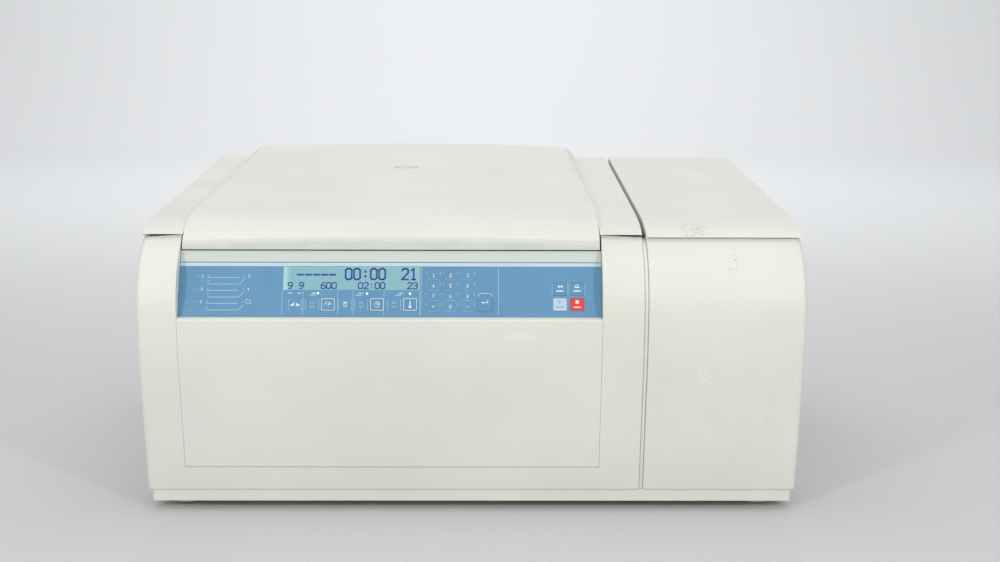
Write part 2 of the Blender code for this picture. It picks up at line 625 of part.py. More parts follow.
def build_struts():
    length = hypot(STRUT_FOOT[0] - STRUT_TOP[0], STRUT_FOOT[1] - STRUT_TOP[1])
    for side, x in zip(("left", "right"), STRUT_X):
        ball = [(0, -0.006), (0.0045, -0.004), (0.006, 0), (0.0045, 0.004), (0.0035, 0.0065)]
        rod_end = length - 0.062
        strut_bar("gas_spring_rod_" + side, x, ball + [(0.0035, rod_end), (0, rod_end)], "steel")
        body = [(0, length - 0.058), (0.0038, length - 0.058), (0.0038, 0.052), (0.0085, 0.052),
                (0.0085, length - 0.014), (0.005, length - 0.008), (0.005, length + 0.004),
                (0, length + 0.004)]
        strut_bar("gas_spring_cylinder_" + side, x, body, "black_paint")


# ---- latch ------------------------------------------------------------------------------
def hook_outline():
    """Hook in Y and Z, drawn locked over the striker and then turned back to released."""
    locked = [(-0.008, -0.007), (0.006, -0.008), (0.009, 0.008), (0.005, 0.036), (-0.028, 0.040),
              (-0.035, 0.036), (-0.035, 0.0285), (-0.012, 0.0285), (-0.010, 0.008)]
    c, s = cos(LATCH_ANGLE), sin(LATCH_ANGLE)
    return [(LATCH_Y + y * c + z * s, LATCH_Z - y * s + z * c) for y, z in locked]


def build_latch():
    centre = (0, LATCH_Y, LATCH_Z)
    origin = (LATCH_X[0] - 0.020, LATCH_Y, LATCH_Z)
    bar = rod("latch_bar", 0.0045, LATCH_X[0] - 0.020, LATCH_X[1] + 0.020, "steel", "X", centre, 16, origin)
    for side, x in zip(("left", "right"), LATCH_X):
        weld(bar, prism("tool_hook_" + side, hook_outline(), "X", x - 0.0025, x + 0.0025, "steel"))
    low = (-0.125, LATCH_Y - 0.030, LATCH_Z - 0.045)
    high = (-0.059, LATCH_Y + 0.030, LATCH_Z + 0.030)
    drive = slab("latch_drive", low, high, "black_plastic")
    round_edges(drive, 0.003, 1)
    cut(drive, rod("tool_drive_bore", 0.0049, -0.4, 0.3, "steel", "X", centre, 16))


# ---- deck, chamber and drive ------------------------------------------------------------
def build_deck():
    seam = MAIN_RIGHT - WALL
    deck = slab("inner_deck", (LEFT + PANEL_INSET + SHEET + GAP, FRONT + 0.0925, DECK_Z - SHEET),
                (seam, HOUSING_BACK - 0.0060, DECK_Z), "cream_moulding")
    rotor_axis = (ROTOR_X, ROTOR_Y, 0)
    cut(deck, rod("tool_deck_hole", CHAMBER_RADIUS + 0.0035, 0.25, 0.35, "steel", "Z", rotor_axis, 48))
    for side, x in zip(("left", "right"), LATCH_X):
        cut(deck, tool_slab("striker_slot_" + side, (x - 0.018, FRONT + 0.05, 0.29),
                            (x + 0.018, LATCH_Y - 0.012, 0.31)))
    for side, x in zip(("left", "right"), STRUT_X):
        cut(deck, tool_slab("strut_slot_" + side, (x - 0.0098, 0.238, 0.29), (x + 0.0098, 0.292, 0.31)))
    for side, x in zip(("left", "right"), LATCH_X):
        slot = tool_slab("lip_slot_" + side, (x - 0.018, FRONT + 0.065, 0.29),
                         (x + 0.018, FRONT + 0.12, 0.31))
        cut(bpy.data.objects["console_body"], slot)


def build_chamber():
    centre = (ROTOR_X, ROTOR_Y, 0)
    inner, wall = CHAMBER_RADIUS, 0.0025
    rim = DECK_Z
    bowl = [(inner, rim - 0.0012), (inner, CHAMBER_FLOOR + 0.020), (inner - 0.020, CHAMBER_FLOOR),
            (0.022, CHAMBER_FLOOR), (0.022, CHAMBER_FLOOR - wall), (inner - 0.019, CHAMBER_FLOOR - wall),
            (inner + wall, CHAMBER_FLOOR + 0.019), (inner + wall, rim - 0.0012)]
    turned("rotor_chamber", bowl, centre, "stainless", steps=48)
    seal = [(inner, rim + CLEAR), (inner + 0.014, rim + CLEAR), (inner + 0.014, rim + 0.004),
            (inner + 0.009, LINER_Z - CLEAR), (inner + 0.003, LINER_Z - CLEAR), (inner - 0.001, rim + 0.004),
            (inner - 0.001, rim - 0.0009), (inner, rim - 0.0009)]
    turned("chamber_seal", seal, centre, "rubber", steps=48)
    guard = [(0.2145, CHAMBER_FLOOR + 0.01), (0.2215, CHAMBER_FLOOR + 0.01), (0.2215, DECK_Z - SHEET - CLEAR),
             (0.2145, DECK_Z - SHEET - CLEAR)]
    turned("armour_ring", guard, centre, "steel", steps=48)


def build_drive():
    centre = (ROTOR_X, ROTOR_Y, 0)
    shaft_radius = 0.0125
    plate_low, plate_high = 0.0900, 0.0950
    motor = [(0, 0.024), (0.052, 0.024), (0.058, 0.030), (0.058, plate_high + CLEAR),
             (0.074, plate_high + CLEAR), (0.074, plate_high + 0.005), (0.040, CHAMBER_FLOOR - 0.0045),
             (shaft_radius + 0.0004, CHAMBER_FLOOR - 0.0045), (shaft_radius + 0.0004, 0.0700), (0, 0.0700)]
    turned("drive_motor", motor, centre, "aluminium", steps=32)
    mount = turned("motor_mount", [(0.0585, plate_low), (0.125, plate_low), (0.125, plate_high),
                                   (0.0585, plate_high)], centre, "steel", steps=32)
    for index in range(3):
        angle = radians(90 + 120 * index)
        spot = (ROTOR_X + 0.105 * cos(angle), ROTOR_Y + 0.105 * sin(angle), 0)
        weld(mount, rod("tool_damper_%d" % index, 0.014, FOOT_HEIGHT + SHEET + CLEAR, plate_low + 0.001,
                        "rubber", "Z", spot, 16))
    shaft = [(0, 0.0704), (shaft_radius, 0.0704), (shaft_radius, 0.190), (0.0085, 0.222), (0, 0.222)]
    turned("motor_shaft", shaft, centre, "steel", steps=24)


def yoke_outline():
    """Plan of the four-armed swing rotor, arms on the diagonals, ends spread like forks."""
    arm = [(0.030, 0.014), (0.080, 0.014), (0.106, 0.031), (0.124, 0.031), (0.131, 0.022)]
    points = []
    for index in range(4):
        turn = radians(45 + 90 * index)
        for along, across in [(a, -b) for a, b in arm] + [(a, b) for a, b in arm[::-1]]:
            points.append((ROTOR_X + along * cos(turn) - across * sin(turn),
                           ROTOR_Y + along * sin(turn) + across * cos(turn)))
    return points


def build_rotor():
    centre = (ROTOR_X, ROTOR_Y, 0)
    yoke = prism("rotor_yoke", yoke_outline(), "Z", PIVOT_Z - 0.014, PIVOT_Z + 0.014, "aluminium", centre)
    hub = turned("tool_hub", [(0, 0.192), (0.036, 0.192), (0.036, 0.234), (0.028, 0.242), (0, 0.242)], centre,
                 "aluminium", steps=32)
    weld(yoke, hub)
    for index in range(4):
        angle = radians(90 * index)
        along = Vector((cos(angle), sin(angle), 0))
        across = Vector((-sin(angle), cos(angle), 0))
        for sign in (-1, 1):
            middle = Vector(centre) + along * PIVOT_RADIUS + across * sign * 0.049
            middle.z = PIVOT_Z
            axis = "Y" if index % 2 == 0 else "X"
            outwards = sign * (1 if index in (0, 3) else -1) > 0
            low, high = (-0.0075, 0.0090) if outwards else (-0.0090, 0.0075)
            name = "tool_trunnion_%d_%d" % (index, sign + 1)
            weld(yoke, rod(name, 0.005, low, high, "steel", axis, middle, 12))
    socket = [(0, 0.18), (0.0130, 0.18), (0.0130, 0.190), (0.0089, 0.2225), (0, 0.2225)]
    cut(yoke, turned("tool_socket", socket, centre, "steel", steps=24))
    knob_well = rod("tool_well", 0.0130, 0.2320, 0.26, "steel", "Z", centre, 24)
    cut(yoke, knob_well)
    button = [(0, 0.2365), (0.0125, 0.2365), (0.0125, 0.249), (0.019, 0.251), (0.019, 0.258), (0.016, 0.262),
              (0, 0.262)]
    turned("rotor_lock_button", button, centre, "key_red", steps=24)


def build_buckets():
    wall = 0.0025
    outer = BUCKET_RADIUS
    top, bottom = BUCKET_RISE, -BUCKET_DROP
    cup = [(0, bottom), (outer - 0.008, bottom), (outer, bottom + 0.008), (outer, top), (outer - wall, top),
           (outer - wall, bottom + 0.010), (outer - 0.010, bottom + 0.004), (0, bottom + 0.004)]
    for index, name in enumerate(("bucket_right", "bucket_rear", "bucket_left", "bucket_front")):
        angle = radians(90 * index)
        spot = Vector((ROTOR_X + PIVOT_RADIUS * cos(angle), ROTOR_Y + PIVOT_RADIUS * sin(angle), PIVOT_Z))
        bucket = turned(name, cup, spot, "aluminium", steps=24)
        across_x, across_y = abs(sin(angle)), abs(cos(angle))
        for sign in (-1, 1):
            lug = [(-0.011, -0.010), (-0.0056, -0.010), (-0.0056, 0.0), (-0.0040, 0.0040), (0.0, 0.0056),
                   (0.0040, 0.0040), (0.0056, 0.0), (0.0056, -0.010), (0.011, -0.010), (0.011, 0.008),
                   (0.007, 0.014), (-0.007, 0.014), (-0.011, 0.008)]
            near, far = sorted((sign * (outer - 0.0015), sign * (outer + 0.008)))
            if index % 2 == 0:
                outline = [(spot.x + a, spot.z + b) for a, b in lug]
                tool = prism("tool_lug_%d_%d" % (index, sign + 1), outline, "Y", spot.y + near, spot.y + far,
                             "aluminium")
            else:
                outline = [(spot.y + a, spot.z + b) for a, b in lug]
                tool = prism("tool_lug_%d_%d" % (index, sign + 1), outline, "X", spot.x + near, spot.x + far,
                             "aluminium")
            weld(bucket, tool)


# ---- cooling unit and rear fittings -----------------------------------------------------
def build_cooling():
    middle = (UNIT_LEFT + RIGHT) / 2
    base = FOOT_HEIGHT + SHEET + CLEAR
    can = [(0, base), (0.072, base), (0.072, base + 0.006), (0.060, base + 0.010), (0.068, base + 0.022),
           (0.068, base + 0.115), (0.060, base + 0.138), (0.040, base + 0.152), (0.012, base + 0.157),
           (0.010, base + 0.170), (0, base + 0.170)]
    turned("compressor", can, (middle, -0.085, 0), "black_paint", steps=28)
    fan_y = 0.296
    coil_low, coil_high = (UNIT_LEFT + 0.014, 0.225, base), (RIGHT - 0.014, 0.262, 0.262)
    condenser = slab("condenser", coil_low, coil_high, "aluminium")
    fan_centre = (middle, 0, 0.180)
    for index in range(8):
        z = 0.055 + 0.024 * index
        cut(condenser, tool_slab("fin_gap_%d" % index, (coil_low[0] + 0.008, 0.20, z),
                                 (coil_high[0] - 0.008, 0.233, z + 0.010)))
    weld(condenser, rod("tool_fan_motor", 0.020, 0.255, 0.280, "black_plastic", "Y", fan_centre, 20))
    weld(condenser, rod("tool_fan_axle", 0.004, 0.270, 0.292, "steel", "Y", fan_centre, 12))
    hub = [(0, -0.003), (0.0045, -0.003), (0.0045, -0.010), (0.018, -0.010), (0.018, 0.008), (0.014, 0.010),
           (0, 0.010)]
    hub_centre = (fan_centre[0], fan_y, fan_centre[2])
    fan = turned("condenser_fan", hub, hub_centre, "black_plastic", axis="Y", steps=20)
    for index in range(5):
        bm = prism_mesh([(0.014, -0.020), (0.070, -0.026), (0.074, 0.020), (0.014, 0.014)], "Y", -0.001, 0.001)
        turn = Matrix.Rotation(radians(72 * index), 3, "Y") @ Matrix.Rotation(radians(22), 3, "X")
        bmesh.ops.rotate(bm, verts=bm.verts, cent=(0, 0, 0), matrix=turn)
        bmesh.ops.translate(bm, verts=bm.verts, vec=hub_centre)
        weld(fan, add_object("tool_blade_%d" % index, bm, "black_plastic"))


def build_fittings():
    """Mains inlet and switch in the rear panel, lid release plug in the left side."""
    outer = HOUSING_BACK + 0.0015
    inlet = slab("power_inlet", (-0.3135, HOUSING_BACK - 0.035, 0.0600), (-0.2850, outer, 0.0800),
                 "black_plastic")
    cut(inlet, tool_slab("inlet_well", (-0.3105, HOUSING_BACK - 0.020, 0.0630),
                         (-0.2880, BACK + 0.01, 0.0770)))
    pivot = (-0.2550, HOUSING_BACK - 0.0010, 0.0730)
    rocker = [(-0.0072, -0.0118), (0.0042, -0.0118), (0.0012, 0.0), (0.0016, 0.0118), (-0.0072, 0.0118)]
    outline = [(pivot[1] + y, pivot[2] + z) for y, z in rocker]
    prism("power_switch", outline, "X", pivot[0] - 0.0095, pivot[0] + 0.0095, "black_plastic", pivot)
    plug = [(0, -0.0017), (0.0110, -0.0017), (0.0110, -0.0004), (0.0080, -CLEAR), (0.0080, 0.014),
            (0, 0.014)]
    turned("release_plug", plug, (LEFT + PANEL_INSET, -0.215, 0.075), "grey_moulding", axis="X", steps=20)


def main():
    for obj in list(bpy.data.objects):
        bpy.data.objects.remove(obj, do_unlink=True)
    build_base()
    build_front_covers()
    build_lower_panel()
    build_top_covers()
    build_panels()
    build_console()
    lid = build_lid()
    leaves = build_hinges()
    build_struts()
    build_latch()
    build_deck()
    build_chamber()
    build_drive()
    build_rotor()
    build_buckets()
    build_cooling()
    build_fittings()
    carry("lid_axis", (LID_MIDDLE, HINGE_Y, HINGE_Z), *lid, *leaves)


main()
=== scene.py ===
"""Looks of a refrigerated bench-top laboratory centrifuge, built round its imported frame.

Metres, +Z up, front towards -Y.  Each operator makes one piece or one group of like pieces.
"""

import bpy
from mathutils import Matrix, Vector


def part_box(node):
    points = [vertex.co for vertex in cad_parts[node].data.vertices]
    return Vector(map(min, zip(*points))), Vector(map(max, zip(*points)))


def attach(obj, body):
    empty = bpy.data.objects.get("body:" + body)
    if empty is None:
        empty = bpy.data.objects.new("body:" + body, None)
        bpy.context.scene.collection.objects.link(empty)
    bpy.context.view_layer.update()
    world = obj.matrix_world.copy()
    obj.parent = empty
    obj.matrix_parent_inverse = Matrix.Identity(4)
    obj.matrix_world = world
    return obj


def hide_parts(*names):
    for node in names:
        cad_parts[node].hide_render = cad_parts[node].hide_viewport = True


bl_info = {
    "name": "Laboratory centrifuge",
    "version": (1, 0, 0),
    "blender": (4, 5, 0),
    "location": "3D View > Sidebar > Centrifuge",
    "description": "Covers, console, lid, rotor and fittings of a bench-top centrifuge",
    "category": "Add Mesh",
}

from math import atan2, cos, degrees, hypot, pi, radians, sin, tan

import bmesh
import bpy
from mathutils import Matrix, Vector

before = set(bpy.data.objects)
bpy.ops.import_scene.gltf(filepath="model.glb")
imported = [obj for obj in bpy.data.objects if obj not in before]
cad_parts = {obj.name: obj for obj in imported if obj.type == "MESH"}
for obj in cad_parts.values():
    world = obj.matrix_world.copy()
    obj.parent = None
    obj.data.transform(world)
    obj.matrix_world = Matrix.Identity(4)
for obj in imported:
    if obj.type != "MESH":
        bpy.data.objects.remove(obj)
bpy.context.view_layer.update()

# ---- places read from the frame ---------------------------------------------------------


def low(node):
    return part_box(node)[0]


def high(node):
    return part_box(node)[1]


def centre_of(node):
    return (low(node) + high(node)) / 2


LEFT, RIGHT = low("front_frame").x, high("unit_front_cover").x
FRONT, COVER_BACK = low("front_frame").y, high("front_frame").y
HOUSING_BACK = high("top_cover").y
MAIN_RIGHT, UNIT_LEFT = high("front_frame").x, low("unit_front_cover").x
COVER_BOTTOM, SEAM_Z = low("front_frame").z, high("front_frame").z
TOP_Z = high("unit_top_cover").z
GAP = 0.0005
CLEAR = 0.0003
WALL = 0.0035
SHEET = 0.003
PANEL_LEFT, PANEL_RIGHT = low("lower_front_panel").x - GAP, high("lower_front_panel").x + GAP
PANEL_BOTTOM, LEDGE_Z = low("lower_front_panel").z - GAP, high("lower_front_panel").z
LID_LEFT, LID_RIGHT = low("lid_shell").x, high("lid_shell").x
LID_MIDDLE, LID_HALF = (LID_LEFT + LID_RIGHT) / 2, (LID_RIGHT - LID_LEFT) / 2
LID_FRONT, LID_REAR = low("lid_shell").y, high("lid_shell").y
LID_TOP = high("lid_shell").z
DECK_Z = high("inner_deck").z
ROTOR = centre_of("rotor_chamber")
ROTOR.z = 0
CHAMBER_FLOOR = low("rotor_chamber").z + 0.0025
CHAMBER_RADIUS = (high("rotor_chamber").x - low("rotor_chamber").x) / 2 - 0.0025
BUCKET_RADIUS = 0.040
BUCKET_REACH = 0.095             # rotor's axis to a bucket's axis
PORT_RADIUS = 0.0160             # hole of the lid's sight port
PLUG_Y, PLUG_Z = -0.215, 0.075   # lid release plug, in the left panel
DIVIDER_TOP = 0.3120             # strip between the two units
PANEL_PLAY = 0.0002              # service panel to the cheeks beside it

BULGE_Z = 0.238                  # height at which the front comes furthest forward
CHIN_TILT = radians(11.3)        # lower front face leans in
CHIN_RADIUS = 0.358
BROW_RADIUS = 0.080

CONSOLE_FOOT = Vector((0, FRONT + 0.010, LEDGE_Z + 0.0010))
CONSOLE_UP = Vector((0, 0.0355, 0.0700)).normalized()
CONSOLE_OUT = Vector((0, -CONSOLE_UP.z, CONSOLE_UP.y))
CONSOLE = Matrix((                # keypad plane's own x, height and lift, to places in the room
    (1, 0, 0, 0),
    (0, CONSOLE_UP.y, CONSOLE_OUT.y, CONSOLE_FOOT.y),
    (0, CONSOLE_UP.z, CONSOLE_OUT.z, CONSOLE_FOOT.z),
    (0, 0, 0, 1)))
TO_CONSOLE = CONSOLE.inverted()

AXES = {                          # the two directions of an outline's plane, and the pull
    "X": (Vector((0, 1, 0)), Vector((0, 0, 1)), Vector((1, 0, 0))),
    "Y": (Vector((1, 0, 0)), Vector((0, 0, 1)), Vector((0, 1, 0))),
    "Z": (Vector((1, 0, 0)), Vector((0, 1, 0)), Vector((0, 0, 1))),
}


# ---- settings ---------------------------------------------------------------------------
def length(name, description, default):
    return bpy.props.FloatProperty(name=name, description=description, default=default, min=0,
                                   subtype="DISTANCE", unit="LENGTH", precision=5)


def colour(name, description, default):
    return bpy.props.FloatVectorProperty(name=name, description=description, default=default,
                                         subtype="COLOR", min=0, max=1)


class CentrifugeSizes(bpy.types.PropertyGroup):
    """Roundings and small sizes that the frame leaves open."""
    side_round: length("Side rounding", "Radius of the covers' outer edges", 0.0065)
    gap_round: length("Gap rounding", "Radius at the gap between the units", 0.0015)
    seam_round: length("Seam rounding", "Radius of the covers' edges at their seams", 0.0006)
    opening_round: length("Opening rounding", "Radius of the cheeks beside the console", 0.0024)
    ledge_round: length("Ledge rounding", "Radius of the ledge below the console", 0.0055)
    lip_arch: length("Lip arch", "How far the lid's front edge drops at its ends", 0.0040)
    key_corner: length("Key corner", "Corner radius of the keys", 0.0012)
    print_width: length("Print line", "Width of the printed lines", 0.0006)


class CentrifugeColours(bpy.types.PropertyGroup):
    """Colours of the finishes."""
    cream: colour("Cream", "Moulded covers", (0.800, 0.795, 0.730))
    sheet: colour("Sheet", "Painted sheet metal", (0.790, 0.795, 0.730))
    grey: colour("Grey", "Lid lip and feet", (0.700, 0.715, 0.670))
    strip: colour("Strip", "Foil above the blue field", (0.630, 0.690, 0.640))
    blue: colour("Blue", "Keypad foil", (0.112, 0.292, 0.480))
    band: colour("Band", "Light line above the blue field", (0.560, 0.700, 0.800))
    navy: colour("Navy", "Thin line above the band", (0.120, 0.230, 0.350))
    key_light: colour("Light key", "Start key", (0.520, 0.690, 0.830))
    key_red: colour("Red key", "Stop key and rotor lock", (0.850, 0.045, 0.035))
    display: colour("Display", "Lit display", (0.200, 0.400, 0.450))
    ink: colour("Ink", "Display segments", (0.020, 0.060, 0.330))
    floor: colour("Floor", "Studio floor", (0.640, 0.645, 0.650))


# ---- modelling --------------------------------------------------------------------------
def only(obj):
    """Leave obj alone selected and active."""
    bpy.ops.object.select_all(action="DESELECT")
    obj.select_set(True)
    bpy.context.view_layer.objects.active = obj


def edit(obj, kind="VERT"):
    only(obj)
    bpy.ops.object.mode_set(mode="EDIT")
    bpy.ops.mesh.select_mode(type=kind)


def leave():
    bpy.ops.object.mode_set(mode="OBJECT")


def named(name):
    """Name the new primitive and move its place into its mesh."""
    obj = bpy.context.active_object
    obj.name = obj.data.name = name
    bpy.ops.object.transform_apply(location=True, rotation=True, scale=True)
    return obj


def block(name, lowest, highest):
    """Rectangular block between two corners."""
    lowest, highest = Vector(lowest), Vector(highest)
    bpy.ops.object.select_all(action="DESELECT")
    bpy.ops.mesh.primitive_cube_add(size=1, location=(lowest + highest) / 2, scale=highest - lowest)
    return named(name)


def drum(name, radius, centre, axis, near, far, sides=64):
    """Round bar along an axis through centre, from near to far."""
    along = AXES[axis][2]
    turn = along.to_track_quat("Z", "Y").to_euler()
    middle = Vector(centre) + along * (near + far) / 2
    bpy.ops.object.select_all(action="DESELECT")
    bpy.ops.mesh.primitive_cylinder_add(vertices=sides, radius=radius, depth=far - near, location=middle,
                                        rotation=turn)
    return named(name)


def trace(name, points, closed):
    """Line grown corner by corner from one point; the object stays in edit mode."""
    bpy.ops.object.select_all(action="DESELECT")
    bpy.ops.mesh.primitive_plane_add(size=0.01, location=points[0])
    obj = named(name)
    edit(obj)
    bpy.ops.mesh.select_all(action="SELECT")
    bpy.ops.mesh.merge(type="CENTER")
    for here, there in zip(points, points[1:]):
        bpy.ops.mesh.extrude_region_move(TRANSFORM_OT_translate={"value": there - here})
    if closed:
        net = bmesh.from_edit_mesh(obj.data)
        net.verts.ensure_lookup_table()
        for vert in (net.verts[0], net.verts[-1]):
            vert.select_set(True)
        bmesh.update_edit_mesh(obj.data)
        bpy.ops.mesh.edge_face_add()
    return obj


def outward():
    """Turn every face of the edited mesh outwards and leave edit mode."""
    bpy.ops.mesh.select_all(action="SELECT")
    bpy.ops.mesh.normals_make_consistent(inside=False)
    leave()


def pull(name, outline, axis, near, far):
    """Closed outline of (a, b) pairs, filled and pulled along an axis from near to far."""
    first, second, along = AXES[axis]
    obj = trace(name, [first * a + second * b + along * near for a, b in outline], True)
    bpy.ops.mesh.select_all(action="SELECT")
    bpy.ops.mesh.edge_face_add()
    bpy.ops.mesh.extrude_region_move(TRANSFORM_OT_translate={"value": along * (far - near)})
    outward()
    return obj


def spin(name, profile, centre, axis="Z", steps=64, closed=False):
    """Profile of (radius, height) pairs spun round an axis through centre."""
    first, _, along = AXES[axis]
    centre = Vector(centre)
    obj = trace(name, [centre + first * radius + along * height for radius, height in profile], closed)
    bpy.ops.mesh.select_all(action="SELECT")
    bpy.ops.mesh.spin(steps=steps, angle=2 * pi, center=centre, axis=along)
    bpy.ops.mesh.select_all(action="SELECT")
    bpy.ops.mesh.remove_doubles(threshold=1e-6)
    outward()
    return obj


def loft(name, rings):
    """Closed body through rings with the same number of points, grown ring by ring."""
    obj = trace(name, rings[0], True)
    bpy.ops.mesh.select_all(action="SELECT")
    bpy.ops.mesh.edge_face_add()
    for ring, following in zip(rings, rings[1:]):
        bpy.ops.mesh.extrude_region_move(TRANSFORM_OT_translate={"value": (0, 0, 0)})
        net = bmesh.from_edit_mesh(obj.data)
        for vert in [vert for vert in net.verts if vert.select]:
            nearest = min(range(len(ring)), key=lambda place: (ring[place] - vert.co).length_squared)
            vert.co = following[nearest]
        bmesh.update_edit_mesh(obj.data)
    outward()
    return obj


def soften(obj, pick, width, segments=3):
    """Round the edges whose two ends pick(a, b) accepts."""
    edit(obj, "EDGE")
    bpy.ops.mesh.select_all(action="DESELECT")
    net = bmesh.from_edit_mesh(obj.data)
    chosen = [edge for edge in net.edges if pick(edge.verts[0].co, edge.verts[1].co)]
    if not chosen:
        raise RuntimeError("no edges to round on " + obj.name)
    for edge in chosen:
        edge.select_set(True)
    bmesh.update_edit_mesh(obj.data)
    bpy.ops.mesh.bevel(offset=width, segments=segments, affect="EDGES", clamp_overlap=True)
    leave()


def apply_modifier(obj, kind, **settings):
    only(obj)
    modifier = obj.modifiers.new(kind.lower(), kind)
    for key, value in settings.items():
        setattr(modifier, key, value)
    bpy.ops.object.modifier_apply(modifier=modifier.name)


def round_all(obj, width, segments=2, angle=40):
    """Round every edge sharper than angle degrees."""
    apply_modifier(obj, "BEVEL", width=width, segments=segments, limit_method="ANGLE",
                   angle_limit=radians(angle), harden_normals=False)


def carve(obj, *tools):
    for tool in tools:
        apply_modifier(obj, "BOOLEAN", operation="DIFFERENCE", object=tool)
        bpy.data.objects.remove(tool)


def weld(obj, *tools):
    for tool in tools:
        apply_modifier(obj, "BOOLEAN", operation="UNION", object=tool)
        bpy.data.objects.remove(tool)


def stamp(source, matrix):
    """Copy of a modelled piece with its own mesh, moved by matrix."""
    copy = source.copy()
    copy.data = source.data.copy()
    copy.data.transform(matrix)
    bpy.context.scene.collection.objects.link(copy)
    return copy


def gather(name, parts):
    """Join parts into one object."""
    bpy.ops.object.select_all(action="DESELECT")
    for part in parts:
        part.select_set(True)
    bpy.context.view_layer.objects.active = parts[0]
    if len(parts) > 1:
        bpy.ops.object.join()
    joined = bpy.context.view_layer.objects.active
    joined.name = joined.data.name = name
    return joined


def done(obj, body, slot, finish, *replaced, angle=35):
    """Shade a finished piece, give it its finish and hang it on its body."""
    only(obj)
    bpy.ops.object.shade_smooth_by_angle(angle=radians(angle))
    apply_modifier(obj, "WEIGHTED_NORMAL", keep_sharp=True)
    obj.data.materials.clear()
    obj.data.materials.append(finish)
    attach(obj, body)
    if replaced:
        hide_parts(*replaced)
    return obj


def carry(node, finish):
    """Give a carried-over node its finish."""
    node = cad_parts[node]
    node.data.materials.clear()
    node.data.materials.append(finish)


# ---- outlines ---------------------------------------------------------------------------
def arc(centre, radius, start, end, steps):
    """Points on a circle, from start to end angle in degrees."""
    angles = [radians(start + (end - start) * step / steps) for step in range(steps + 1)]
    return [(centre[0] + radius * cos(a), centre[1] + radius * sin(a)) for a in angles]


def bezier(points, steps):
    """Cubic curve given by four (a, b) pairs."""
    curve = []
    for step in range(steps + 1):
        t = step / steps
        weights = ((1 - t) ** 3, 3 * t * (1 - t) ** 2, 3 * t * t * (1 - t), t ** 3)
        curve.append(tuple(sum(w * p[k] for w, p in zip(weights, points)) for k in (0, 1)))
    return curve


def rounded(points, radius, steps=3, closed=False):
    """Outline with each corner replaced by a short curve that starts radius away from it."""
    count = len(points)
    made = []
    for index, corner in enumerate(points):
        if not closed and index in (0, count - 1):
            made.append(tuple(corner))
            continue
        corner = Vector(corner)
        before, after = Vector(points[index - 1]), Vector(points[(index + 1) % count])
        start = corner + (before - corner) * min(0.45, radius / max((before - corner).length, 1e-9))
        end = corner + (after - corner) * min(0.45, radius / max((after - corner).length, 1e-9))
        for step in range(steps + 1):
            t = step / steps
            made.append(tuple(start * (1 - t) ** 2 + corner * 2 * t * (1 - t) + end * t * t))
    return made


def rectangle(left, right, bottom, top, corner=0.0, steps=4):
    """Rectangle, with round corners if corner is not 0."""
    if corner == 0:
        return [(left, bottom), (right, bottom), (right, top), (left, top)]
    middles = ((right - corner, bottom + corner, -90), (right - corner, top - corner, 0),
               (left + corner, top - corner, 90), (left + corner, bottom + corner, 180))
    return [point for a, b, start in middles for point in arc((a, b), corner, start, start + 90, steps)]


def front_curve(inset=0.0, bottom=COVER_BOTTOM, top=SEAM_Z, chin_steps=8, brow_steps=14):
    """Front of the housing from bottom to top: leaning chin, bulge, round brow."""
    chin = arc((FRONT + CHIN_RADIUS, BULGE_Z), CHIN_RADIUS - inset, 180 + degrees(CHIN_TILT), 180,
               chin_steps)
    lean = (chin[0][1] - bottom) * tan(CHIN_TILT)
    radius = BROW_RADIUS - inset
    rise = min(0.999, (top - BULGE_Z) / radius)
    end = 180 - degrees(atan2(rise, (1 - rise * rise) ** 0.5))
    brow = arc((FRONT + BROW_RADIUS, BULGE_Z), radius, 180, end, brow_steps)
    return [(chin[0][0] + lean, bottom)] + chin + brow[1:]


def front_y(z):
    """How far back the housing's front lies at height z."""
    curve = front_curve()
    for (y_low, z_low), (y_high, z_high) in zip(curve, curve[1:]):
        if z_low - 1e-6 <= z <= z_high + 1e-6:
            return y_low + (y_high - y_low) * (z - z_low) / (z_high - z_low)
    return curve[-1][0]


def nose_curve(start, steps=16):
    """Front of the lid, from its lip up to the flat top."""
    return bezier([start, (start[0] + 0.009, start[1] + 0.0115),
                   (FRONT + 0.095, TOP_Z - 0.0005), (FRONT + 0.150, TOP_Z)], steps)


def shoulder_curve(inset=0.0, steps=16):
    """Front and top of the top covers, from just above their seam to the rear."""
    nose = bezier([(FRONT + 0.0495, 0.3180), (FRONT + 0.063, 0.3250), (FRONT + 0.095, 0.3296),
                   (FRONT + 0.153, 0.3302)], steps)
    outline = [(COVER_BACK - 0.001, SEAM_Z + GAP + 0.0035)] + nose + [(HOUSING_BACK, TOP_Z)]
    return [(y + inset, z - inset) for y, z in outline]


def near(a, b, slack=2e-5):
    return abs(a - b) < slack


# ---- node trees -------------------------------------------------------------------------
class Wire:
    """Output of a node; sums on it add their Math nodes."""

    def __init__(self, recipe, socket):
        self.recipe = recipe
        self.socket = socket

    def __add__(self, other):
        return self.recipe.maths("ADD", self, other)

    def __radd__(self, other):
        return self.recipe.maths("ADD", other, self)

    def __sub__(self, other):
        return self.recipe.maths("SUBTRACT", self, other)

    def __rsub__(self, other):
        return self.recipe.maths("SUBTRACT", other, self)

    def __mul__(self, other):
        return self.recipe.maths("MULTIPLY", self, other)

    def __rmul__(self, other):
        return self.recipe.maths("MULTIPLY", other, self)

    def __truediv__(self, other):
        return self.recipe.maths("DIVIDE", self, other)


